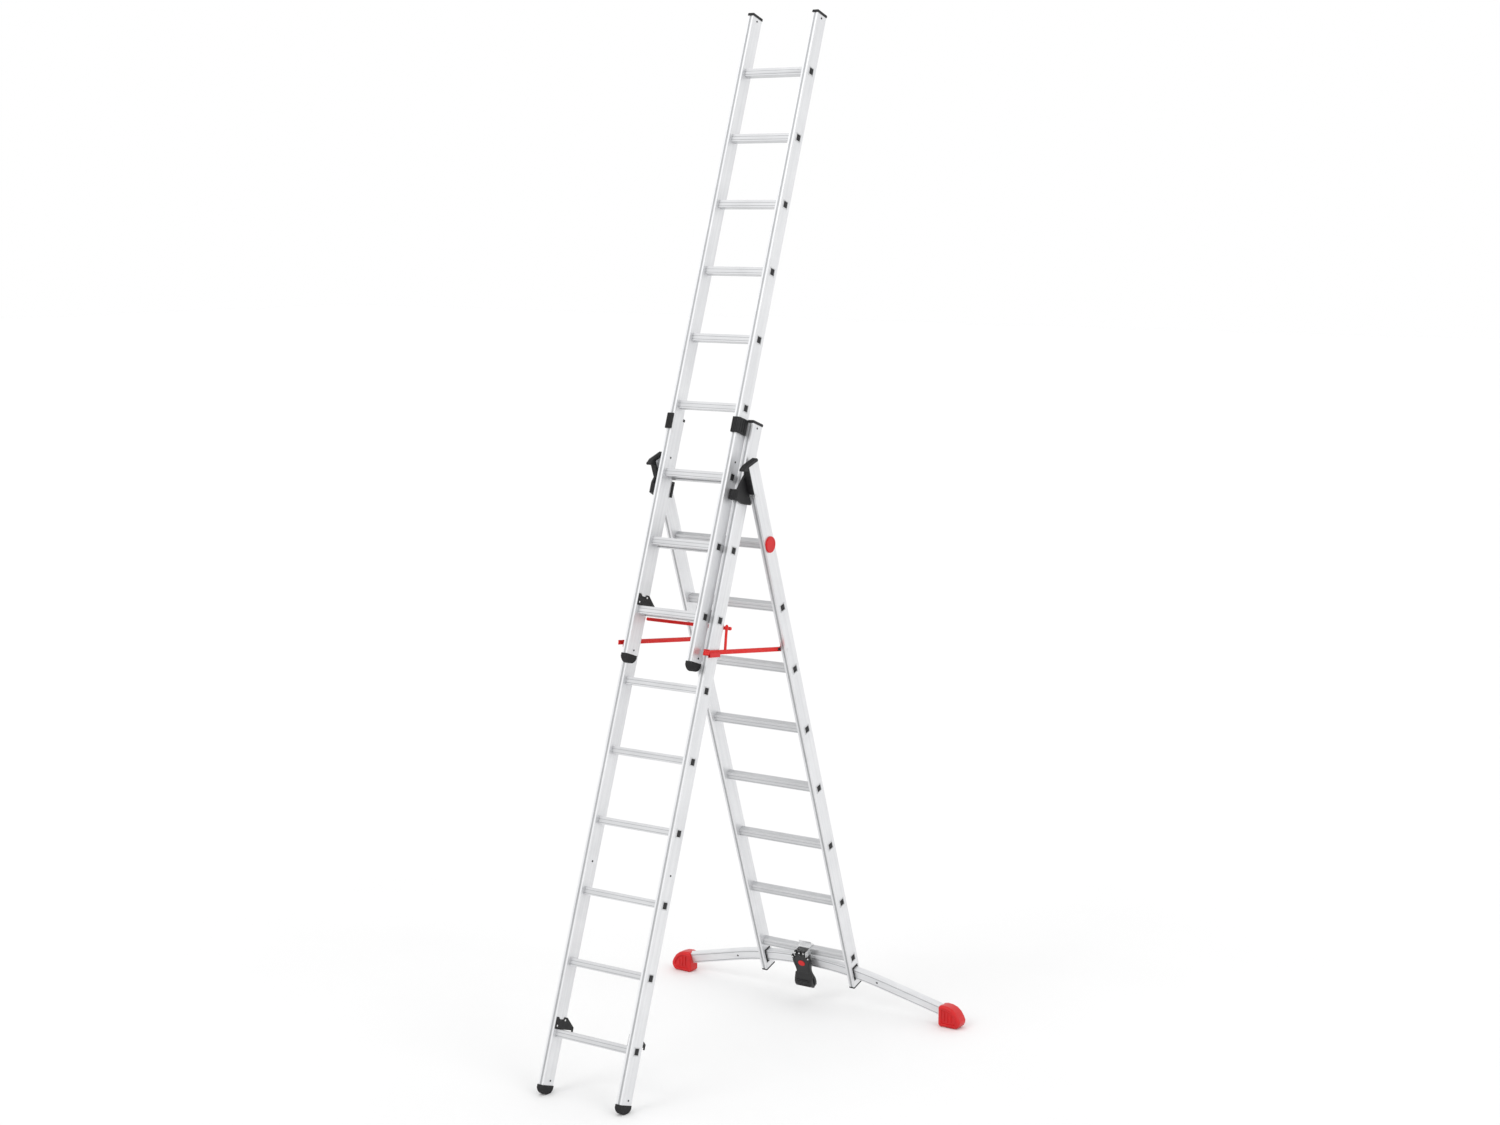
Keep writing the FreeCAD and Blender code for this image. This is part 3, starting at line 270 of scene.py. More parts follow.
@dataclass(frozen=True)
class Aluminium:
    """Extruded aluminium with drawing lines along its length and faint handling marks."""

    name: str
    grain: Grain
    tint: tuple[float, float, float] = (0.80, 0.805, 0.815)
    shade: tuple[float, float, float] = (0.68, 0.685, 0.70)
    haze: Optional[tuple[float, float, float]] = None
    metallic: float = 0.75
    smooth: float = 0.30
    dull: float = 0.46
    line_scale: float = 900.0
    band_scale: float = 90.0
    cloud_scale: float = 6.0
    mark_scale: float = 38.0
    relief: float = 0.18
    turns: dict[Grain, tuple[float, float, float]] = field(default_factory=lambda: {
        Grain.ALONG_FRONT: (18.95, 0.0, 0.0),
        Grain.ALONG_REAR: (-19.1, 0.0, 0.0),
        Grain.ALONG_X: (0.0, 90.0, 0.0),
        Grain.NONE: (0.0, 0.0, 0.0),
    })

    def make(self) -> bpy.types.Material:
        """Build the material."""
        tree = Tree(self.name)
        turn = self.turns[self.grain]
        lines = tree.noise(tree.mapped((1, 1, 0.004), turn), self.line_scale, 2.0, 0.6)
        bands = tree.noise(tree.mapped((1, 1, 0.02), turn, (3.1, 0, 0)), self.band_scale, 2.0, 0.5)
        cloud = tree.noise(tree.mapped(PLAIN, turn, (0, 7.7, 0)), self.cloud_scale, 4.0, 0.55)
        marks = tree.noise(tree.mapped((6, 6, 0.4), (turn[0] + 24, turn[1], 31)), self.mark_scale, 5.0, 0.7)
        base = tree.ramp(bands, 0.25, 0.75, self.shade, self.tint)
        haze = tree.ramp(cloud, 0.3, 0.7, self.shade, self.haze or tuple(c * 1.05 for c in self.tint))
        mixed = tree.blend(tree.span(lines, 0.2, 0.6), base, haze)
        grime = tree.ramp(marks, 0.62, 0.74, (1, 1, 1), (0.80, 0.80, 0.80))
        half = tree.span(cloud, 0.25, 0.6)
        tree.colour(tree.blend(half, mixed, grime, "MULTIPLY"))
        spread = tree.span(lines, self.smooth, self.dull)
        tree.roughness(tree.math("ADD", spread, tree.span(marks, -0.04, 0.06)))
        tree.bump(tree.math("ADD", lines, tree.math("MULTIPLY", bands, 0.6)), self.relief, 0.0002)
        tree.constants(Metallic=self.metallic)
        return tree.material


@dataclass(frozen=True)
class Moulded:
    """Moulded plastic or rubber with a pebbled skin, rubbed paler along its edges."""

    name: str
    base: tuple[float, float, float]
    rubbed: tuple[float, float, float]
    pebble: float = 900.0
    relief: float = 0.25
    smooth: float = 0.38
    dull: float = 0.58
    coat: float = 0.0
    shine: float = 0.3

    def make(self) -> bpy.types.Material:
        """Build the material."""
        tree = Tree(self.name)
        plain = tree.mapped(PLAIN)
        cloud = tree.noise(plain, 22.0, 4.0, 0.6)
        dust = tree.noise(tree.mapped(PLAIN, (0, 0, 0), (4, 2, 9)), 120.0, 5.0, 0.65)
        darker = tuple(channel * 0.8 for channel in self.base)
        body = tree.ramp(cloud, 0.3, 0.7, darker, self.base)
        worn = tree.ramp(dust, 0.4, 0.75, self.base, self.rubbed)
        tree.colour(tree.blend(tree.span(tree.edges(0.5, 0.62), 0.0, 0.65), body, worn))
        skin = tree.cells(plain, self.pebble)
        tree.roughness(tree.span(tree.math("ADD", cloud, tree.math("MULTIPLY", dust, 0.5)),
                                 self.smooth, self.dull))
        tree.bump(tree.math("ADD", skin, tree.math("MULTIPLY", dust, 0.5)), self.relief, 0.0003)
        tree.constants(Coat_Weight=self.coat, Coat_Roughness=0.2, Specular_IOR_Level=self.shine)
        return tree.material


@dataclass(frozen=True)
class Coated:
    """Powder-coated steel: slight orange peel, and chips along edges that show the metal."""

    name: str
    base: tuple[float, float, float]
    chip: tuple[float, float, float] = (0.42, 0.40, 0.39)

    def make(self) -> bpy.types.Material:
        """Build the material."""
        tree = Tree(self.name)
        plain = tree.mapped(PLAIN)
        peel = tree.noise(plain, 700.0, 2.0, 0.5)
        cloud = tree.noise(plain, 14.0, 4.0, 0.6)
        flecks = tree.noise(tree.mapped(PLAIN, (0, 0, 0), (1, 5, 3)), 210.0, 4.0, 0.7)
        body = tree.ramp(cloud, 0.3, 0.7, tuple(channel * 0.86 for channel in self.base), self.base)
        bare = tree.ramp(flecks, 0.54, 0.66, self.base, self.chip)
        tree.colour(tree.blend(tree.span(tree.edges(0.53, 0.68), 0.0, 0.5), body, bare))
        tree.roughness(tree.span(cloud, 0.30, 0.44))
        tree.bump(peel, 0.12, 0.0002)
        tree.constants(Specular_IOR_Level=0.22)
        return tree.material


@dataclass(frozen=True)
class Plated:
    """Zinc-plated steel of bolts, rivets and the pedal's saddle."""

    name: str
    bright: tuple[float, float, float] = (0.78, 0.785, 0.79)
    dark: tuple[float, float, float] = (0.56, 0.565, 0.57)

    def make(self) -> bpy.types.Material:
        """Build the material."""
        tree = Tree(self.name)
        plain = tree.mapped(PLAIN)
        spangle = tree.cells(plain, 240.0)
        cloud = tree.noise(plain, 60.0, 4.0, 0.6)
        tree.colour(tree.ramp(tree.math("MULTIPLY", tree.math("ADD", spangle, cloud), 0.6),
                              0.2, 0.7, self.dark, self.bright))
        tree.roughness(tree.span(cloud, 0.24, 0.42))
        tree.bump(cloud, 0.15, 0.0002)
        tree.constants(Metallic=0.85)
        return tree.material


class Paint:
    """All finishes of the ladder, each built once."""

    def __init__(self) -> None:
        """Build every material."""
        self.front_stile = Aluminium("aluminium_front_stile", Grain.ALONG_FRONT).make()
        self.rear_stile = Aluminium("aluminium_rear_stile", Grain.ALONG_REAR).make()
        self.rung = Aluminium("aluminium_rung", Grain.ALONG_X, (0.66, 0.665, 0.675),
                              (0.54, 0.545, 0.555)).make()
        self.bar = Aluminium("aluminium_bar", Grain.ALONG_X).make()
        # Darker aluminium for the stiles' groove bottoms, the rungs' tread lines and the stabiliser's
        # channels: painted shade in these recesses.
        self.groove = Aluminium("aluminium_groove_painted_shade", Grain.NONE, (0.47, 0.475, 0.485), (0.38, 0.385, 0.395),
                                haze=(0.45, 0.455, 0.465)).make()
        self.plug = Moulded("rung_plug", (0.012, 0.012, 0.013), (0.03, 0.03, 0.032)).make()
        self.rubber = Moulded("black_rubber", (0.012, 0.012, 0.013), (0.045, 0.045, 0.047), 700.0, 0.4,
                              0.55, 0.78).make()
        self.nylon = Moulded("black_nylon", (0.010, 0.010, 0.011), (0.04, 0.04, 0.042), 1300.0, 0.22,
                             0.36, 0.52).make()
        self.red_plastic = Moulded("red_plastic", (0.60, 0.008, 0.010), (0.70, 0.03, 0.03), 1100.0, 0.15,
                                   0.28, 0.42, 0.12).make()
        self.red_steel = Coated("red_steel", (0.66, 0.010, 0.007)).make()
        self.black_steel = Coated("black_steel", (0.010, 0.010, 0.011)).make()
        self.zinc = Plated("zinc").make()
        self.rivet = Plated("dark_rivet", (0.035, 0.035, 0.037), (0.015, 0.015, 0.016)).make()
        self.pedal = Moulded("black_pedal", (0.008, 0.008, 0.009), (0.04, 0.04, 0.042), 1500.0, 0.12,
                             0.20, 0.34, 0.3).make()


# ------------------------------------------------------------------ stance and mesh tools

@dataclass
class Stance:
    """Where the leaning sections stand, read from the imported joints."""

    frame: dict
    hinge_height: float = 2.427
    hinge_back: float = 0.0275
    rear_middle: float = 0.0275
    pivot_forward: float = 0.022
    pivot_drop: float = 0.682
    post_rise: float = 0.096
    post_back: float = 0.106

    def joint(self, name: str) -> dict:
        """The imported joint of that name."""
        return [joint for joint in self.frame["joints"] if joint["name"] == name][0]

    @property
    def lean_front(self) -> float:
        """Lean of the front sections in radians."""
        axis = self.joint("upper_slide")["axis"]
        return math.atan2(axis[1], axis[2])

    @property
    def lean_rear(self) -> float:
        """Lean of the rear section in radians."""
        axis = self.joint("stabiliser_rock")["axis"]
        return math.atan2(axis[2], axis[1])

    @property
    def front(self) -> Matrix:
        """Front sections' frame: z along the stiles from the floor, y to the rear."""
        hinge = Vector(self.joint("rear_fold")["pos_m"])
        turn = Matrix.Rotation(-self.lean_front, 4, "X")
        foot = hinge - turn @ Vector((0, self.hinge_back, self.hinge_height))
        return Matrix.Translation(foot) @ turn

    @property
    def rear(self) -> Matrix:
        """Rear section's frame: origin on the fold axis, z up its stiles."""
        hinge = Vector(self.joint("rear_fold")["pos_m"])
        return Matrix.Translation(hinge) @ Matrix.Rotation(self.lean_rear, 4, "X")

    @property
    def spreader(self) -> tuple[Matrix, float]:
        """Frame of the spreader, with its bars along -y from the rear pivot, and the bars' length in mm."""
        pivot = self.rear @ Vector((0.0, self.rear_middle - self.pivot_forward, -self.pivot_drop))
        crossbar = Vector(self.joint("spreader_turn")["pos_m"]) - pivot
        along = math.sqrt(crossbar.y ** 2 + crossbar.z ** 2 - self.post_rise ** 2)
        rise = math.atan2(crossbar.z, -crossbar.y) - math.atan2(self.post_rise, along)
        return Matrix.Translation(pivot) @ Matrix.Rotation(-rise, 4, "X"), (along + self.post_back) / MM

    def named(self, word: str) -> list[str]:
        """CAD nodes whose name holds a word."""
        return [node for node in self.frame["nodes"] if word in node]


class Shape:
    """One bmesh under construction, finished into an object that rides on a body."""

    def __init__(self) -> None:
        """Start empty."""
        self.mesh = bmesh.new()

    def block(self, low: Sequence[float], high: Sequence[float], bevel: float = 0.0,
              segments: int = 2) -> list[bmesh.types.BMVert]:
        """Box between two corners, with rounded edges.

        Args:
            low: Lowest corner.
            high: Highest corner.
            bevel: Edge radius, or 0 for none.
            segments: Bevel segments.

        Returns:
            The new vertices.
        """
        size = [b - a for a, b in zip(low, high)]
        middle = [(a + b) / 2 for a, b in zip(low, high)]
        matrix = Matrix.Translation(middle) @ Matrix.Diagonal((*size, 1.0))
        made = bmesh.ops.create_cube(self.mesh, size=1.0, matrix=matrix)["verts"]
        return self.round_off(made, bevel, segments)

    def round_off(self, verts: list[bmesh.types.BMVert], radius: float,
                  segments: int) -> list[bmesh.types.BMVert]:
        """Bevel the edges among some vertices.

        Args:
            verts: Vertices of the part to round.
            radius: Bevel width, or 0 to leave it.
            segments: Bevel segments.

        Returns:
            The vertices of the rounded part.
        """
        if radius <= 0:
            return verts
        edges = list({edge for vert in verts for edge in vert.link_edges
                      if len(edge.link_faces) == 2 and edge.calc_face_angle(0.0) > ROUND_ABOVE})
        made = bmesh.ops.bevel(self.mesh, geom=edges, offset=radius, affect="EDGES", segments=segments,
                               profile=0.5, material=-1, clamp_overlap=True)
        kept = {vert for vert in verts if vert.is_valid} | set(made["verts"])
        return list(kept)

    def rod(self, start: Sequence[float], end: Sequence[float], radius: float, bevel: float = 0.0,
            sides: int = 32, end_radius: Optional[float] = None) -> list[bmesh.types.BMVert]:
        """Round bar or cone between two points.

        Args:
            start: Centre of the first end.
            end: Centre of the other end.
            radius: Radius at the start.
            bevel: Radius of the rounded rims.
            sides: Number of sides.
            end_radius: Radius at the end, or None for a cylinder.

        Returns:
            The new vertices.
        """
        axis = Vector(end) - Vector(start)
        turn = axis.to_track_quat("Z", "Y").to_matrix().to_4x4()
        matrix = Matrix.Translation((Vector(start) + Vector(end)) / 2) @ turn
        made = bmesh.ops.create_cone(self.mesh, cap_ends=True, cap_tris=False, segments=sides,
                                     radius1=radius, radius2=radius if end_radius is None else end_radius,
                                     depth=axis.length, matrix=matrix)["verts"]
        if bevel <= 0:
            return made
        rims = list({edge for vert in made for edge in vert.link_edges
                     if any(len(face.verts) > 4 for face in edge.link_faces)})
        rounded = bmesh.ops.bevel(self.mesh, geom=rims, offset=bevel, affect="EDGES", segments=2,
                                  profile=0.5, material=-1, clamp_overlap=True)
        return list({vert for vert in made if vert.is_valid} | set(rounded["verts"]))

    def plate(self, points: Sequence[Sequence[float]], axis: str, low: float, high: float,
              bevel: float = 0.0, segments: int = 2) -> list[bmesh.types.BMVert]:
        """Outline extruded along an axis.

        Args:
            points: Corners in the plane's two coordinates.
            axis: "X" for a (y, z) outline, "Y" for an (x, z) outline, "Z" for an (x, y) one.
            low: Start of the extrusion.
            high: End of the extrusion.
            bevel: Edge radius.
            segments: Bevel segments.

        Returns:
            The new vertices.
        """
        place: dict[str, Callable[[float, float, float], tuple[float, float, float]]] = {
            "X": lambda u, v, w: (w, u, v),
            "Y": lambda u, v, w: (u, w, v),
            "Z": lambda u, v, w: (u, v, w),
        }
        ring = [self.mesh.verts.new(place[axis](u, v, low)) for u, v in points]
        face = self.mesh.faces.new(ring)
        lifted = bmesh.ops.extrude_face_region(self.mesh, geom=[face])["geom"]
        top = [item for item in lifted if isinstance(item, bmesh.types.BMVert)]
        shift = {"X": (high - low, 0, 0), "Y": (0, high - low, 0), "Z": (0, 0, high - low)}[axis]
        bmesh.ops.translate(self.mesh, vec=shift, verts=top)
        bmesh.ops.recalc_face_normals(self.mesh, faces=list({f for v in ring + top for f in v.link_faces}))
        return self.round_off(ring + top, bevel, segments)

    def move(self, verts: Iterable[bmesh.types.BMVert], matrix: Matrix) -> None:
        """Transform some vertices."""
        bmesh.ops.transform(self.mesh, matrix=matrix, verts=[vert for vert in verts if vert.is_valid])

    def finish(self, name: str, material: bpy.types.Material, place: Matrix) -> bpy.types.Object:
        """Turn the shape into an object at the origin, with its place in its mesh.

        Args:
            name: Name of the object.
            material: Its finish.
            place: Matrix from the shape's frame to the row frame.

        Returns:
            The new object.
        """
        bmesh.ops.transform(self.mesh, matrix=place, verts=self.mesh.verts)
        bmesh.ops.recalc_face_normals(self.mesh, faces=self.mesh.faces)
        return to_object(self.mesh, name, material)


def to_object(mesh: bmesh.types.BMesh, name: str, *materials: bpy.types.Material) -> bpy.types.Object:
    """Turn a bmesh into a linked object, shaded smooth except over its sharp edges.

    Args:
        mesh: The bmesh, which is freed.
        name: Name of the object and its mesh.
        materials: Finishes, in the order of the faces' material numbers.

    Returns:
        The new object.
    """
    for face in mesh.faces:
        face.smooth = True
    for edge in mesh.edges:
        edge.smooth = len(edge.link_faces) == 2 and edge.calc_face_angle(0.0) < SMOOTH_BELOW
    data = bpy.data.meshes.new(name)
    mesh.to_mesh(data)
    mesh.free()
    for material in materials:
        data.materials.append(material)
    made = bpy.data.objects.new(name, data)
    bpy.context.scene.collection.objects.link(made)
    shade(made)
    return made


def settle(piece: bpy.types.Object, body: str, slot: str, *nodes: str) -> bpy.types.Object:
    """Let a piece ride on a body and stand for CAD nodes.

    Args:
        piece: The finished piece.
        body: Name of the CAD body.
        slot: Material slot of the record.
        nodes: CAD nodes that it replaces.

    Returns:
        The piece.
    """
    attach(piece, body)
    if nodes:
        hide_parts(*nodes)
    log.info("%s rides on %s: %d faces", piece.name, body, len(piece.data.polygons))
    return piece


def shade(made: bpy.types.Object) -> None:
    """Even out the normals, so that big flat faces stay flat beside rounded edges."""
    even = made.modifiers.new("even_normals", "WEIGHTED_NORMAL")
    even.keep_sharp = True
    even.weight = 80


@dataclass
class Softened:
    """Copy of a CAD node whose sharp edges are rounded, so that they catch the light."""

    frame: dict
    radius: float = 0.7 * MM
    angle: float = 32.0

    def make(self, node: str, material: bpy.types.Material, body: str, slot: str,
             radius: Optional[float] = None, carve: Optional[Callable[[bmesh.types.BMesh], None]] = None,
             sunk: Optional[bpy.types.Material] = None) -> bpy.types.Object:
        """Copy one node.

        Args:
            node: CAD node to copy.
            material: Finish of the copy.
            body: Body it rides on.
            slot: Material slot of the record.
            radius: Edge radius, or None for the usual one.
            carve: Function that carves the merged copy, and gives sunken faces material number 1.
            sunk: Darker finish of the sunken faces, painted shade in the recesses.

        Returns:
            The copy.
        """
        mesh = bmesh.new()
        mesh.from_mesh(self.frame["nodes"][node].data)
        for face in mesh.faces:
            face.material_index = 0
        bmesh.ops.remove_doubles(mesh, verts=mesh.verts, dist=SAME_POINT)
        bmesh.ops.dissolve_limit(mesh, angle_limit=FLAT_BELOW, verts=mesh.verts, edges=mesh.edges,
                                 delimit=set())
        if carve:
            carve(mesh)
        sharp = [edge for edge in mesh.edges
                 if len(edge.link_faces) == 2 and edge.calc_face_angle(0.0) > math.radians(self.angle)]
        bmesh.ops.bevel(mesh, geom=sharp, offset=radius or self.radius, affect="EDGES", segments=2,
                        profile=0.5, material=-1, clamp_overlap=True)
        made = to_object(mesh, f"{node}_look", material, *([sunk] if sunk else []))
        return settle(made, body, slot, node)


# ------------------------------------------------------------------ the ladder's parts

@dataclass
class Section:
    """Stiles and rungs of one section, with carved tread lines, painted shade in the stiles' grooves and the
    tread lines, and dark plugs in the rungs' ends.
    """

    softened: Softened
    paint: Paint
    place: Matrix
    name: str
    body: str
    width: float
    middle: float
    first: float
    rungs: int
    stile_finish: bpy.types.Material
    pitch: float = 280.0
    stile_thick: float = 25.0
    groove: float = 1.2
    rung_half: float = 15.0
    line_deep: float = 0.9
    lines: tuple[tuple[float, float], ...] = ((-10.5, -8.0), (3.2, 5.4))
    plug_half: float = 12.9
    plug_deep: float = 8.0
    plug_set: float = 0.8
    button_half: float = 8.0

    def stile_carver(self, mesh: bmesh.types.BMesh) -> None:
        """Give the bottoms of a stile's lengthwise grooves the darker finish, as painted shade."""
        back = self.place.inverted()
        depth = max((back @ vert.co).y for vert in mesh.verts) / MM - self.middle
        for face in mesh.faces:
            normal = back.to_3x3() @ face.normal
            reach = abs((back @ face.calc_center_median()).y / MM - self.middle)
            if abs(normal.y) > 0.9 and abs(reach - (depth - self.groove)) < 0.2:
                # Groove bottoms take the darker finish: painted shade in the grooves.
                face.material_index = 1

    def rung_carver(self, mesh: bmesh.types.BMesh) -> None:
        """Sink two lengthwise lines into a rung's front and rear faces, and give them the darker finish as
        painted shade.
        """
        back = (self.place @ TO_METRES).inverted()
        bmesh.ops.transform(mesh, matrix=back, verts=mesh.verts)
        level = (max(vert.co.z for vert in mesh.verts) + min(vert.co.z for vert in mesh.verts)) / 2
        reach = self.width / 2 - self.stile_thick
        cuts = [((side * reach, 0, 0), (1, 0, 0)) for side in SIDES.values()]
        cuts += [((0, 0, level + edge), (0, 0, 1)) for line in self.lines for edge in line]
        for point, normal in cuts:
            bmesh.ops.bisect_plane(mesh, geom=mesh.verts[:] + mesh.edges[:] + mesh.faces[:], dist=0.0001,
                                   plane_co=point, plane_no=normal)
        for low, high in self.lines:
            for sign in (-1, 1):
                chosen = []
                for face in mesh.faces:
                    centre = face.calc_center_median()
                    if (abs(centre.x) < reach and low < centre.z - level < high
                            and face.normal.y * sign > 0.9
                            and abs(sign * (centre.y - self.middle) - self.rung_half) < 0.3):
                        chosen.append(face)
                bmesh.ops.inset_region(mesh, faces=chosen, thickness=0.05, depth=-self.line_deep,
                                       use_even_offset=True)
                # The sunk tread lines take the darker finish: painted shade in the lines.
                for face in chosen:
                    face.material_index = 1
        bmesh.ops.transform(mesh, matrix=self.place @ TO_METRES, verts=mesh.verts)

    def plugs(self) -> None:
        """Dark plugs set back a little inside the open ends of the rungs."""
        shape = Shape()
        for index in range(self.rungs):
            level = self.first + index * self.pitch
            for side in SIDES.values():
                rim = self.width / 2 - self.plug_set
                for half, inner, outer, bevel in (
                        (self.plug_half, self.width / 2 - self.plug_deep, rim, 1.6),
                        (self.button_half, rim, rim + 0.6, 0.5)):
                    low, high = sorted((side * inner, side * outer))
                    shape.block((low, self.middle - half, level - half),
                                (high, self.middle + half, level + half), bevel)
        piece = shape.finish(f"{self.name}_rung_plugs", self.paint.plug, self.place @ TO_METRES)
        settle(piece, self.body, "black_plastic")

    def build(self) -> None:
        """Dress the two stiles and every rung."""
        for side in SIDES:
            self.softened.make(f"{self.name}_stile_{side}", self.stile_finish, self.body, "aluminium",
                               carve=self.stile_carver, sunk=self.paint.groove)
        for index in range(1, self.rungs + 1):
            self.softened.make(f"{self.name}_rung_{index}", self.paint.rung, self.body, "aluminium",
                               0.9 * MM, self.rung_carver, self.paint.groove)
        self.plugs()


@dataclass
class SlideGuides:
    """Moulded channels on the lower section's head, with stepped ribs in front and beside."""

    paint: Paint
    stance: Stance
    inside: float = 171.35
    outside: float = 178.5
    tip: float = 144.75
    rear: float = -8.5
    gate: float = -89.1
    nose: float = -96.6
    low: float = 2654.0
    height: float = 62.0
    front_ribs: tuple[float, ...] = (4.0, 11.0, 18.0, 25.0)
    side_ribs: tuple[float, ...] = (12.0, 27.0, 42.0)

    def build(self) -> None:
        """Model both guides as one piece."""
        shape = Shape()
        high = self.low + self.height
        for side in SIDES.values():
            points = [(self.inside, self.rear), (self.outside, self.rear), (self.outside, self.gate),
                      (self.outside - 6.0, self.nose + 1.6), (self.tip, self.nose + 1.6),
                      (self.tip, self.gate), (self.inside, self.gate)]
            shape.plate([(side * x, y) for x, y in points], "Z", self.low, high, 1.0)
            for rib in self.front_ribs:
                x = side * (self.tip + rib)
                shape.block((x - 2.2, self.nose, self.low + 3), (x + 2.2, self.nose + 3, high - 3), 0.7)
            face = side * self.outside
            for rib in self.side_ribs:
                y = self.gate + rib
                shape.block((min(face - side, face + side * 1.4), y - 4.5, self.low + 5),
                            (max(face - side, face + side * 1.4), y + 4.5, high - 5), 0.6)
            near, far = sorted((side * (self.inside + 1.6), side * self.outside))
            shape.block((near, self.rear - 3, self.low - 12), (far, 3.0, self.low + 34), 1.0)
            for level in (self.low + 1.5, high - 5.5):
                shape.block((min(face - side, face + side * 1.0), self.gate + 2, level),
                            (max(face - side, face + side * 1.0), -34.0, level + 4), 0.5)
        piece = shape.finish("slide_guides_look", self.paint.nylon, self.stance.front @ TO_METRES)
        settle(piece, "lower_section", "black_plastic", *self.stance.named("guide"))


@dataclass
class HingeDress:
    """Ribs on the fold hinge's mouldings and on the rear section's top caps."""

    paint: Paint
    stance: Stance
    wrap_x: tuple[float, float] = (172.85, 213.9)
    wrap_front: float = -59.5
    wrap_z: tuple[float, float] = (2393.0, 2433.0)
    cap_x: float = 227.25
    cap_top: float = 138.0
    grip_half: float = 11.4

    def collar_ribs(self) -> None:
        """Upright ribs on the front of each hinge moulding, and a stepped rib behind it."""
        shape = Shape()
        for side in SIDES.values():
            for step in range(5):
                x = side * (self.wrap_x[0] + 5.0 + step * 7.6)
                shape.block((x - 2.0, self.wrap_front - 1.3, self.wrap_z[0] + 3),
                            (x + 2.0, self.wrap_front + 2, self.wrap_z[1] - 3), 0.7)
            for step in range(3):
                x = side * (self.wrap_x[0] + 7.0 + step * 12.0)
                shape.block((x - 3.0, 41.0, 2400.0), (x + 3.0, 43.4, 2458.0), 0.7)
        piece = shape.finish("hinge_collar_ribs", self.paint.nylon, self.stance.front @ TO_METRES)
        settle(piece, "lower_section", "black_plastic")

    def cap_grips(self) -> None:
        """Cross ribs and rounded nose of the two top caps."""
        shape = Shape()
        for side in SIDES.values():
            middle = side * self.cap_x
            for step in range(9):
                y = -12.0 + step * 8.4
                shape.block((middle - self.grip_half, y - 1.9, self.cap_top - 2),
                            (middle + self.grip_half, y + 1.9, self.cap_top + 1.6), 0.8)
            shape.rod((middle - 12.3, -34.0, 127.0), (middle + 12.3, -34.0, 127.0), 5.6, 2.0)
            for step in range(3):
                y = -31.0 + step * 5.5
                z = 131.4 + step * 2.2
                shape.block((middle - self.grip_half, y - 1.4, z - 2),
                            (middle + self.grip_half, y + 1.4, z + 1.7), 0.6)
        piece = shape.finish("rear_cap_grips", self.paint.nylon, self.stance.rear @ TO_METRES)
        settle(piece, "rear_section", "black_plastic")

    def build(self) -> None:
        """Model both kinds of trim."""
        self.collar_ribs()
        self.cap_grips()


@dataclass
class Spreader:
    """Red side bars with rolled edges, flat rounded posts, domed knobs and dark ends."""

    paint: Paint
    stance: Stance
    near: float = 205.3
    thick: float = 6.4
    half: float = 9.0
    front_over: float = 34.5
    rear_over: float = 12.0
    post_back: float = 106.0
    post_top: float = 96.0
    post_half: float = 7.0
    knob: float = 11.0
    knob_flat: float = 4.6
    rolled: float = 3.4
    end_half: float = 5.4
    boss_reach: float = 214.45

    def bars(self) -> None:
        """Both bars, posts, knobs and pivot bosses."""
        place, length = self.stance.spreader
        for label, side in SIDES.items():
            shape = Shape()
            low, high = sorted((side * self.near, side * (self.near + self.thick)))
            front = -length - self.front_over
            shape.block((low + 0.6, front, -self.half), (high - 0.6, self.rear_over, self.half), 1.0)
            for edge in (-self.half, self.half - self.rolled):
                shape.block((low, front, edge), (high, self.rear_over, edge + self.rolled), 1.2)
            back = -length + self.post_back
            shape.block((low, back - self.post_half, self.half - 4),
                        (high, back + self.post_half, self.post_top), 3.0, 4)
            ball = Matrix.Translation(((low + high) / 2 + side * 0.6, back, self.post_top))
            ball @= Matrix.Diagonal((self.knob_flat, self.knob, self.knob, 1.0))
            bmesh.ops.create_uvsphere(shape.mesh, u_segments=32, v_segments=16, radius=1.0, matrix=ball)
            gusset = [(-14.0, self.half - 2), (self.rear_over - 1, self.half - 2), (self.rear_over - 1, 24.0),
                      (self.rear_over - 5, 25.0)]
            shape.plate(gusset, "X", low + 1.2, high - 1.2, 0.8)
            shape.rod((side * (self.near + self.thick - 1), 0, 0), (side * self.boss_reach, 0, 0), 8.0, 0.5)
            shape.rod((low - 0.3, 0, 0), (high + 0.3, 0, 0), 5.0, 0.8)
            piece = shape.finish(f"spreader_bar_{label}_look", self.paint.red_steel, place @ TO_METRES)
            settle(piece, "spreader_arms", "red_steel", f"spreader_bar_{label}")

    def ends(self) -> None:
        """Dark end pieces near the rear pivots."""
        place, _ = self.stance.spreader
        shape = Shape()
        for side in SIDES.values():
            low, high = sorted((side * (self.near + self.thick - 1.2), side * (self.near + self.thick + 0.8)))
            shape.block((low, -27.0, -self.end_half), (high, -9.5, self.end_half), 0.7)
            low, high = sorted((side * self.near, side * (self.near + self.thick)))
            shape.block((low + 1.3, self.rear_over - 4, -5.0), (high - 1.3, self.rear_over + 0.9, 5.0), 0.6)
        piece = shape.finish("spreader_bar_ends", self.paint.nylon, place @ TO_METRES)
        settle(piece, "spreader_arms", "black_plastic")

    def build(self) -> None:
        """Model the spreader's own shapes."""
        self.bars()
        self.ends()


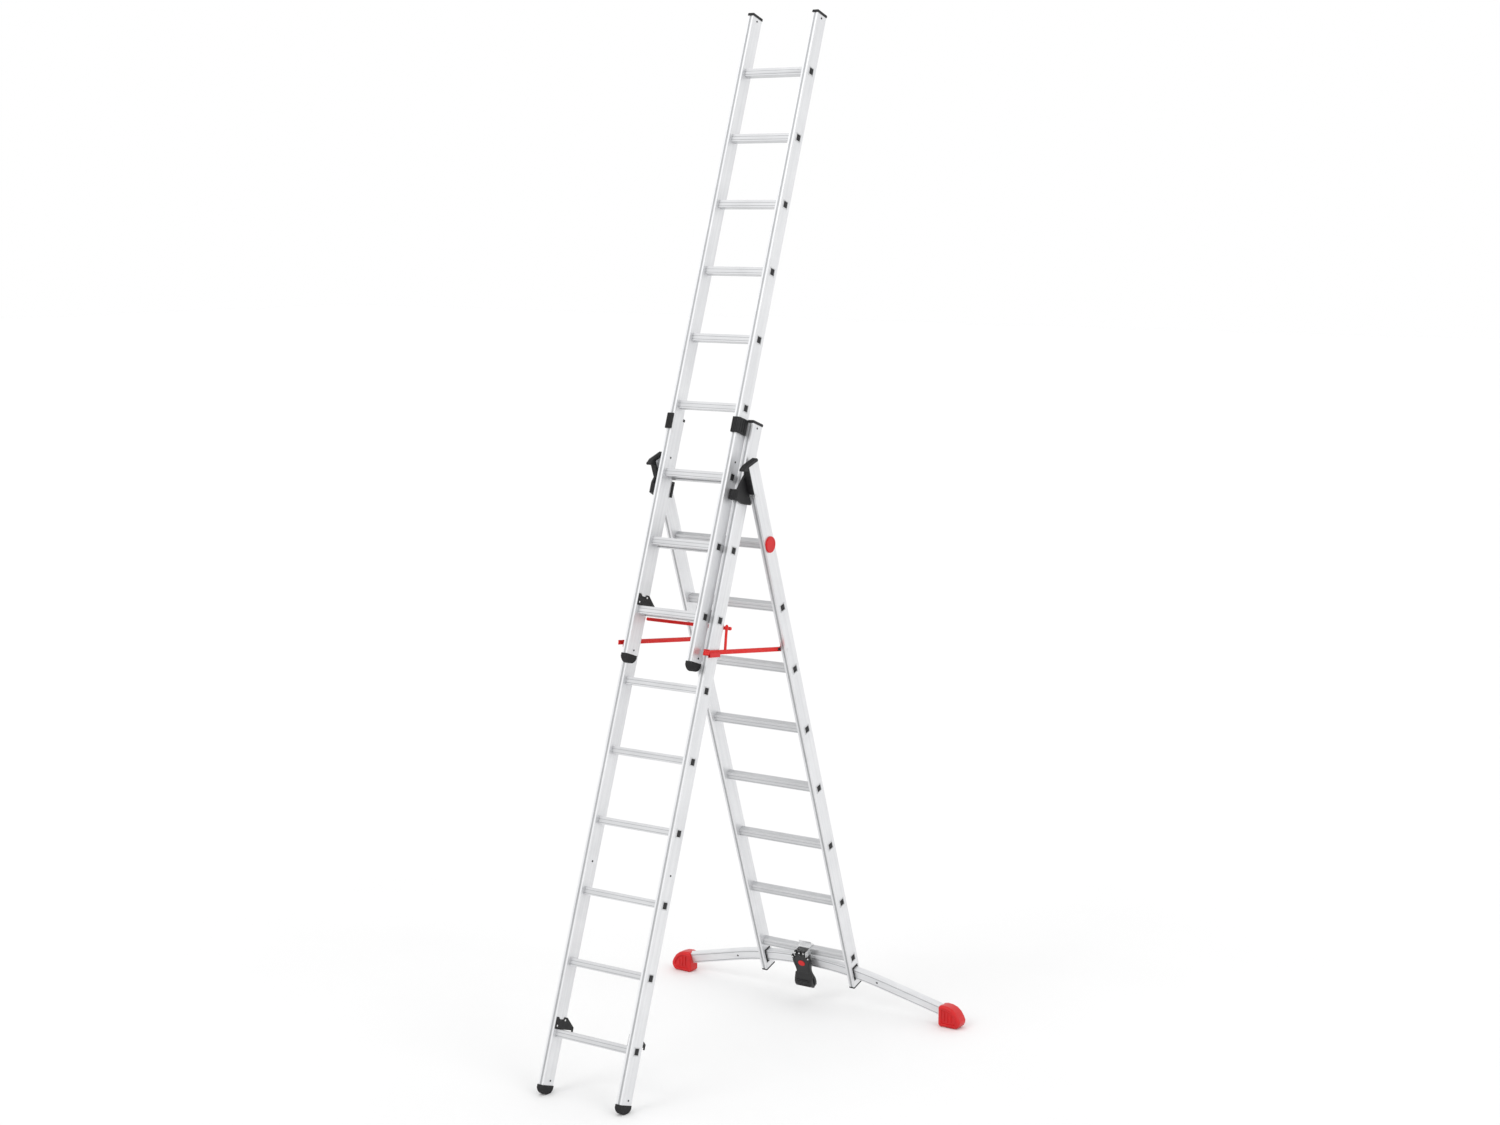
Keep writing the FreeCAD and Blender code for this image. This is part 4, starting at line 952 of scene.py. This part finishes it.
@dataclass
class Stabiliser:
    """Curved bar's edge lips and screws, and the domed red feet on its ends."""

    paint: Paint
    stance: Stance
    radius: float = 1500.0
    height: float = 48.0
    half_angle: float = 15.0
    arm: float = 300.0
    plane: float = 27.5
    depth: float = 26.0
    foot_low: tuple[float, float] = (644.0, 773.29)
    foot_high: tuple[float, float] = (748.0, 835.29)
    foot_top: float = 92.0
    foot_ribs: tuple[tuple[float, float, float], ...] = (
        (30.0, 26.0, 68.0), (46.0, 22.0, 68.0), (62.0, 22.0, 56.0))
    covered: float = 36.0
    steps: int = 24
    screw_x: tuple[float, float] = (-377.0, 349.0)
    screw_high: float = 0.45

    def path(self, inset: float) -> list[tuple[float, float]]:
        """Points along the bar at a distance below its top face.

        Args:
            inset: Distance below the top face.

        Returns:
            Points (x, z) from the left end to the right end.
        """
        centre = (self.stance.rear.inverted() @ Vector(self.stance.joint("stabiliser_rock")["pos_m"])).z / MM
        radius = self.radius - inset
        limit = math.radians(self.half_angle)
        arc = [(radius * math.sin(a), centre + radius * math.cos(a))
               for a in (limit * step / self.steps for step in range(-self.steps, self.steps + 1))]
        reach = self.arm - self.covered
        run = (reach * math.cos(limit), -reach * math.sin(limit))
        left = (arc[0][0] - run[0], arc[0][1] + run[1])
        right = (arc[-1][0] + run[0], arc[-1][1] + run[1])
        return [left] + arc + [right]

    def strips(self, name: str, finish: bpy.types.Material, proud: float,
               edges: Sequence[tuple[float, float]]) -> None:
        """Thin strips along the bar, on its front and rear faces.

        Args:
            name: Name of the piece.
            finish: Its finish.
            proud: Height above the face.
            edges: Distances of each strip's edges below the bar's top face.
        """
        shape = Shape()
        front, back = self.plane - self.depth / 2, self.plane + self.depth / 2
        for top, bottom in edges:
            ring = self.path(top) + self.path(bottom)[::-1]
            shape.plate(ring, "Y", front - proud, front + 0.4)
            shape.plate(ring, "Y", back - 0.4, back + proud)
        piece = shape.finish(name, finish, self.stance.rear @ TO_METRES)
        settle(piece, "stabiliser", "aluminium")

    def lips(self) -> None:
        """Raised lines along the edges, and dark strips between them as painted shade in the channels."""
        self.strips("stabiliser_lips", self.paint.bar, 0.55,
                    ((1.0, 5.0), (9.0, 11.0), (self.height - 11.0, self.height - 9.0),
                     (self.height - 5.0, self.height - 1.0)))
        # Dark strips laid just proud of the faces between the lips: painted shade lines.
        self.strips("stabiliser_channels_painted_shade", self.paint.groove, 0.15,
                    ((5.0, 9.0), (self.height - 9.0, self.height - 5.0)))

    def screws(self) -> None:
        """One dark screw head on each arm."""
        shape = Shape()
        front = self.plane - self.depth / 2
        middle = self.path(self.height / 2)
        for x in self.screw_x:
            z = min(middle, key=lambda point: abs(point[0] - x))[1]
            shape.rod((x, front + 1, z), (x, front - self.screw_high, z), 4.6, 0.3, 24)
        piece = shape.finish("stabiliser_screws", self.paint.rivet, self.stance.rear @ TO_METRES)
        settle(piece, "stabiliser", "bright_steel")

    def feet(self) -> None:
        """Domed feet with a sunk ribbed panel on the front and rear."""
        shape = Shape()
        x0, y0 = self.foot_low
        x1, y1 = self.foot_high
        top = self.foot_top
        outline = [(x0, 8.0), (x0, top - 12), (x0 + 6, top - 3), (x0 + 20, top), (x0 + 44, top - 1.5),
                   (x0 + 66, top - 9), (x0 + 84, top - 23), (x0 + 97, top - 42), (x1, top - 58),
                   (x1 - 1, 22.0), (x1 - 8, 8.0), (x1 - 20, 0.0), (x0 + 8, 0.0)]
        for side in SIDES.values():
            made = shape.plate([(side * x, z) for x, z in outline], "Y", y0, y1)
            faces = {face for vert in made for face in vert.link_faces}
            broad = [face for face in faces if len(face.verts) == len(outline)]
            rims = list({edge for face in broad for edge in face.edges})
            for face in broad:
                for thickness, depth in ((15.0, 0.0), (3.0, -4.5)):
                    bmesh.ops.inset_region(shape.mesh, faces=[face], thickness=thickness, depth=depth,
                                           use_even_offset=True)
            bmesh.ops.bevel(shape.mesh, geom=rims, offset=10.0, affect="EDGES", segments=4, profile=0.5,
                            material=-1, clamp_overlap=True)
            for face, out in ((y0, 1.0), (y1, -1.0)):
                for x, low, high in self.foot_ribs:
                    near, far = sorted((face + out * 1.5, face + out * 7.0))
                    centre = side * (x0 + x)
                    shape.block((centre - 1.8, near, low), (centre + 1.8, far, high), 1.2)
        piece = shape.finish("stabiliser_feet_look", self.paint.red_plastic, TO_METRES)
        settle(piece, "stabiliser", "red_plastic", "stabiliser_feet")

    def build(self) -> None:
        """Model lips, screws and feet."""
        self.lips()
        self.screws()
        self.feet()


@dataclass
class Pedal:
    """Foot pedal: three claws at its top, a waist, a flared ribbed toe, bright studs and a plain oval mark."""

    paint: Paint
    stance: Stance
    pin_y: float = -16.8
    pin_z: float = -2181.0
    thick: float = 16.0
    outline: tuple[tuple[float, float], ...] = (
        (26.6, 6.0), (26.8, -12.0), (34.0, -20.0), (43.0, -25.0), (46.0, -34.0), (45.5, -46.0),
        (41.5, -60.0), (38.0, -74.0), (37.0, -86.0), (39.5, -98.0), (45.0, -110.0), (49.0, -122.0),
        (50.0, -136.0), (48.0, -150.0), (42.0, -159.0), (33.0, -164.0))
    stud_places: tuple[tuple[float, float, float], ...] = (
        (-21.0, 9.0, 3.0), (0.0, 9.0, 3.0), (21.0, 9.0, 3.0), (-39.0, -16.0, 2.0), (39.0, -16.0, 2.0))

    def moulding(self) -> None:
        """Body, claws and toe."""
        shape = Shape()
        front, back = self.pin_y - self.thick / 2, self.pin_y + self.thick / 2
        half = [(x, self.pin_z + z) for x, z in self.outline]
        ring = half + [(-x, z) for x, z in reversed(half)]
        shape.plate(ring, "Y", front, back, 3.6, 4)
        for x in (-21.0, 0.0, 21.0):
            claw = [(x - 6, self.pin_z - 8), (x - 6.0, self.pin_z + 12), (x - 3.4, self.pin_z + 18),
                    (x + 3.4, self.pin_z + 18), (x + 6.0, self.pin_z + 12), (x + 6, self.pin_z - 8)]
            shape.plate(claw, "Y", front - 3.0, front + 9.0, 2.4, 3)
        for side in SIDES.values():
            lug = [(side * 30, self.pin_z - 24), (side * 44, self.pin_z - 26), (side * 46, self.pin_z - 12),
                   (side * 41, self.pin_z - 4), (side * 36, self.pin_z - 10)]
            shape.plate(lug, "Y", front - 2.0, front + 8.0, 2.0, 3)
        toe = [(front + 2, self.pin_z - 92), (front - 5, self.pin_z - 104), (front - 13, self.pin_z - 118),
               (front - 18.5, self.pin_z - 132), (front - 18.5, self.pin_z - 146),
               (front - 13, self.pin_z - 156), (front - 4, self.pin_z - 162), (front + 2, self.pin_z - 162)]
        shape.plate(toe, "X", -44.0, 44.0, 7.0, 5)
        for step in range(5):
            z = self.pin_z - 121.0 - step * 7.0
            shape.block((-33.0, front - 20.0, z - 1.5), (33.0, front - 14.0, z + 1.5), 1.2)
        rim = [(x * 0.78, self.pin_z - 29 + (z + 29) * 0.74) for x, z in self.outline[3:10]]
        for side in SIDES.values():
            edge = [(side * x, z) for x, z in rim] + [(side * (x - 3.0), z) for x, z in reversed(rim)]
            shape.plate(edge, "Y", front - 1.2, front + 1.0, 0.4)
        piece = shape.finish("foot_pedal_look", self.paint.pedal, self.stance.rear @ TO_METRES)
        settle(piece, "pedal", "black_plastic", "foot_pedal")

    def studs(self) -> None:
        """Bright studs on claws and shoulders."""
        shape = Shape()
        front = self.pin_y - self.thick / 2
        for x, z, out in self.stud_places:
            start = front - out + 0.5
            shape.rod((x, start, self.pin_z + z), (x, start - 2.6, self.pin_z + z), 3.6, 1.3, 24)
        piece = shape.finish("pedal_studs", self.paint.zinc, self.stance.rear @ TO_METRES)
        settle(piece, "pedal", "bright_steel")

    def mark(self) -> None:
        """Plain oval mark on the pedal's shoulder."""
        shape = Shape()
        front = self.pin_y - self.thick / 2
        made = shape.rod((0, front + 0.5, 0), (0, front - 2.0, 0), 17.0, 1.2, 48)
        shape.move(made, Matrix.Translation((0, 0, self.pin_z - 44.0)) @ Matrix.Diagonal((1, 1, 0.78, 1)))
        piece = shape.finish("pedal_mark", self.paint.red_plastic, self.stance.rear @ TO_METRES)
        settle(piece, "pedal", "red_plastic")

    def build(self) -> None:
        """Model the pedal's pieces."""
        self.moulding()
        self.studs()
        self.mark()


@dataclass
class Badge:
    """Plain red disc over the end of the top rear rung, with a raised rim and a blank sunken face."""

    paint: Paint
    stance: Stance
    face: float = 239.75
    middle: tuple[float, float] = (27.5, -222.0)
    radius: float = 33.0
    thick: float = 7.0

    def build(self) -> None:
        """Model the disc, its rim and its face."""
        y, z = self.middle
        shape = Shape()
        shape.rod((self.face, y, z), (self.face + self.thick - 1.4, y, z), self.radius, 1.6, 64)
        ring = shape.rod((self.face + 2, y, z), (self.face + self.thick, y, z), self.radius - 3.0, 0.7, 64)
        cap = [face for face in {f for v in ring if v.is_valid for f in v.link_faces}
               if face.normal.x > 0.9 and len(face.verts) > 8]
        bmesh.ops.inset_region(shape.mesh, faces=cap, thickness=3.0, depth=0.0)
        bmesh.ops.inset_region(shape.mesh, faces=cap, thickness=0.8, depth=-0.9)
        piece = shape.finish("badge_look", self.paint.red_plastic, self.stance.rear @ TO_METRES)
        settle(piece, "rear_section", "red_plastic", "badge")


@dataclass
class Fasteners:
    """Rivet heads: dark on the stiles, bright on the hook plates."""

    softened: Softened
    paint: Paint
    plate_limits: dict[str, tuple[str, float]] = field(default_factory=lambda: {
        "lower_rivets": ("lower_section", 0.1762), "upper_rivets": ("upper_section", 0.1424)})

    def build(self) -> None:
        """Copy each rivet node and give the hook plates' heads a bright finish."""
        for node, (body, limit) in self.plate_limits.items():
            made = self.softened.make(node, self.paint.rivet, body, "bright_steel", 0.45 * MM)
            made.data.materials.append(self.paint.zinc)
            for face in made.data.polygons:
                face.material_index = 1 if abs(face.center.x) < limit else 0


@dataclass
class Smallware:
    """Everything else that keeps its CAD shape with rounded edges: caps, feet, hooks, liners, saddle."""

    softened: Softened
    paint: Paint
    frame: dict

    def build(self) -> None:
        """Soften each CAD node that no other class has replaced."""
        finishes = {
            "black_rubber": self.paint.rubber, "black_plastic": self.paint.nylon,
            "black_steel": self.paint.black_steel, "red_plastic": self.paint.red_plastic,
            "red_steel": self.paint.red_steel, "bright_steel": self.paint.zinc, "aluminium": self.paint.bar,
        }
        radii = {"black_rubber": 1.8 * MM, "black_plastic": 1.0 * MM, "bright_steel": 0.5 * MM}
        slots = {part["node"]: part["material_slot"] for part in self.frame["record"]["subparts"]}
        for node, thing in self.frame["nodes"].items():
            if thing.hide_render:
                continue
            slot = slots[node]
            self.softened.make(node, finishes[slot], thing["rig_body"], slot, radii.get(slot))


@dataclass
class Studio:
    """Pale floor, soft lights and the camera."""

    camera_at: tuple[float, float, float] = (5.7316, -7.9514, 3.3796)
    yaw: float = 34.85
    pitch: float = -7.82
    roll: float = 0.11
    focal: float = 59.4924
    shift: tuple[float, float] = (0.00286, -0.00451)
    surround: float = 1.0
    floor_half: float = 60.0
    floor_drop: float = 0.0005
    suns: tuple[tuple[str, tuple[float, float, float], float, float], ...] = (
        ("key", (0.2, 0.75, -0.6), 0.55, 30.0), ("side", (-0.85, 0.1, -0.5), 0.5, 40.0))

    def floor(self) -> None:
        """Wide, flat, pale floor."""
        shape = Shape()
        made = bmesh.ops.create_grid(shape.mesh, x_segments=1, y_segments=1, size=self.floor_half)["verts"]
        shape.move(made, Matrix.Translation((0, 0, -self.floor_drop)))
        tree = Tree("studio_floor")
        cloud = tree.noise(tree.mapped(PLAIN), 1.4, 3.0, 0.5)
        tree.colour(tree.ramp(cloud, 0.2, 0.8, (0.85, 0.85, 0.85), (0.865, 0.865, 0.865)))
        tree.roughness(tree.span(cloud, 0.7, 0.8))
        floor = shape.finish("floor", tree.material, Matrix.Identity(4))

    def world(self) -> None:
        """Bright even surroundings."""
        world = bpy.data.worlds.new("studio")
        world.use_nodes = True
        background = world.node_tree.nodes["Background"]
        background.inputs["Color"].default_value = (1.0, 1.0, 1.0, 1.0)
        background.inputs["Strength"].default_value = self.surround
        bpy.context.scene.world = world
        bpy.context.scene.view_settings.view_transform = "Standard"

    def sun(self, name: str, direction: Sequence[float], strength: float, spread: float) -> None:
        """Very soft distant light.

        Args:
            name: Name of the light.
            direction: Way the light travels.
            strength: Strength.
            spread: Angular size in degrees.
        """
        data = bpy.data.lights.new(name, "SUN")
        data.energy = strength
        data.angle = math.radians(spread)
        lamp = bpy.data.objects.new(name, data)
        lamp.rotation_euler = Vector(direction).to_track_quat("-Z", "Y").to_euler()
        bpy.context.scene.collection.objects.link(lamp)

    def camera(self) -> None:
        """Camera in front and to the right of the ladder, looking slightly down."""
        yaw, pitch, roll = (math.radians(angle) for angle in (self.yaw, self.pitch, self.roll))
        forward = Vector((-math.sin(yaw) * math.cos(pitch), math.cos(yaw) * math.cos(pitch), math.sin(pitch)))
        right = Vector((math.cos(yaw), math.sin(yaw), 0.0))
        up = right.cross(forward)
        turned_right = right * math.cos(roll) + up * math.sin(roll)
        turned_up = up * math.cos(roll) - right * math.sin(roll)
        axes = Matrix((turned_right, turned_up, -forward)).transposed()
        data = bpy.data.cameras.new("camera")
        data.sensor_width = 36.0
        data.lens = self.focal
        data.shift_x, data.shift_y = self.shift
        data.clip_end = 200.0
        camera = bpy.data.objects.new("camera", data)
        camera.matrix_world = Matrix.Translation(self.camera_at) @ axes.to_4x4()
        bpy.context.scene.collection.objects.link(camera)
        bpy.context.scene.camera = camera

    def build(self) -> None:
        """Set the whole stage."""
        self.floor()
        self.world()
        for name, direction, strength, spread in self.suns:
            self.sun(name, direction, strength, spread)
        self.camera()


def main() -> None:
    """Build every class in order around the frame."""
    logging.basicConfig(level=logging.INFO, format="%(name)s: %(message)s")
    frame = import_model()
    paint = Paint()
    stance = Stance(frame)
    softened = Softened(frame)
    Studio().build()
    Section(softened, paint, stance.front, "lower", "lower_section", width=407.0, middle=0.0, first=239.0,
            rungs=9, stile_finish=paint.front_stile).build()
    Section(softened, paint, stance.front, "upper", "upper_section", width=339.5, middle=-55.0, first=1919.0,
            rungs=9, stile_finish=paint.front_stile).build()
    Section(softened, paint, stance.rear, "rear", "rear_section", width=479.5, middle=27.5, first=-2182.0,
            rungs=8, stile_finish=paint.rear_stile).build()
    SlideGuides(paint, stance).build()
    HingeDress(paint, stance).build()
    Spreader(paint, stance).build()
    Stabiliser(paint, stance).build()
    Pedal(paint, stance).build()
    Badge(paint, stance).build()
    Fasteners(softened, paint).build()
    Smallware(softened, paint, frame).build()


if __name__ == "__main__":
    main()
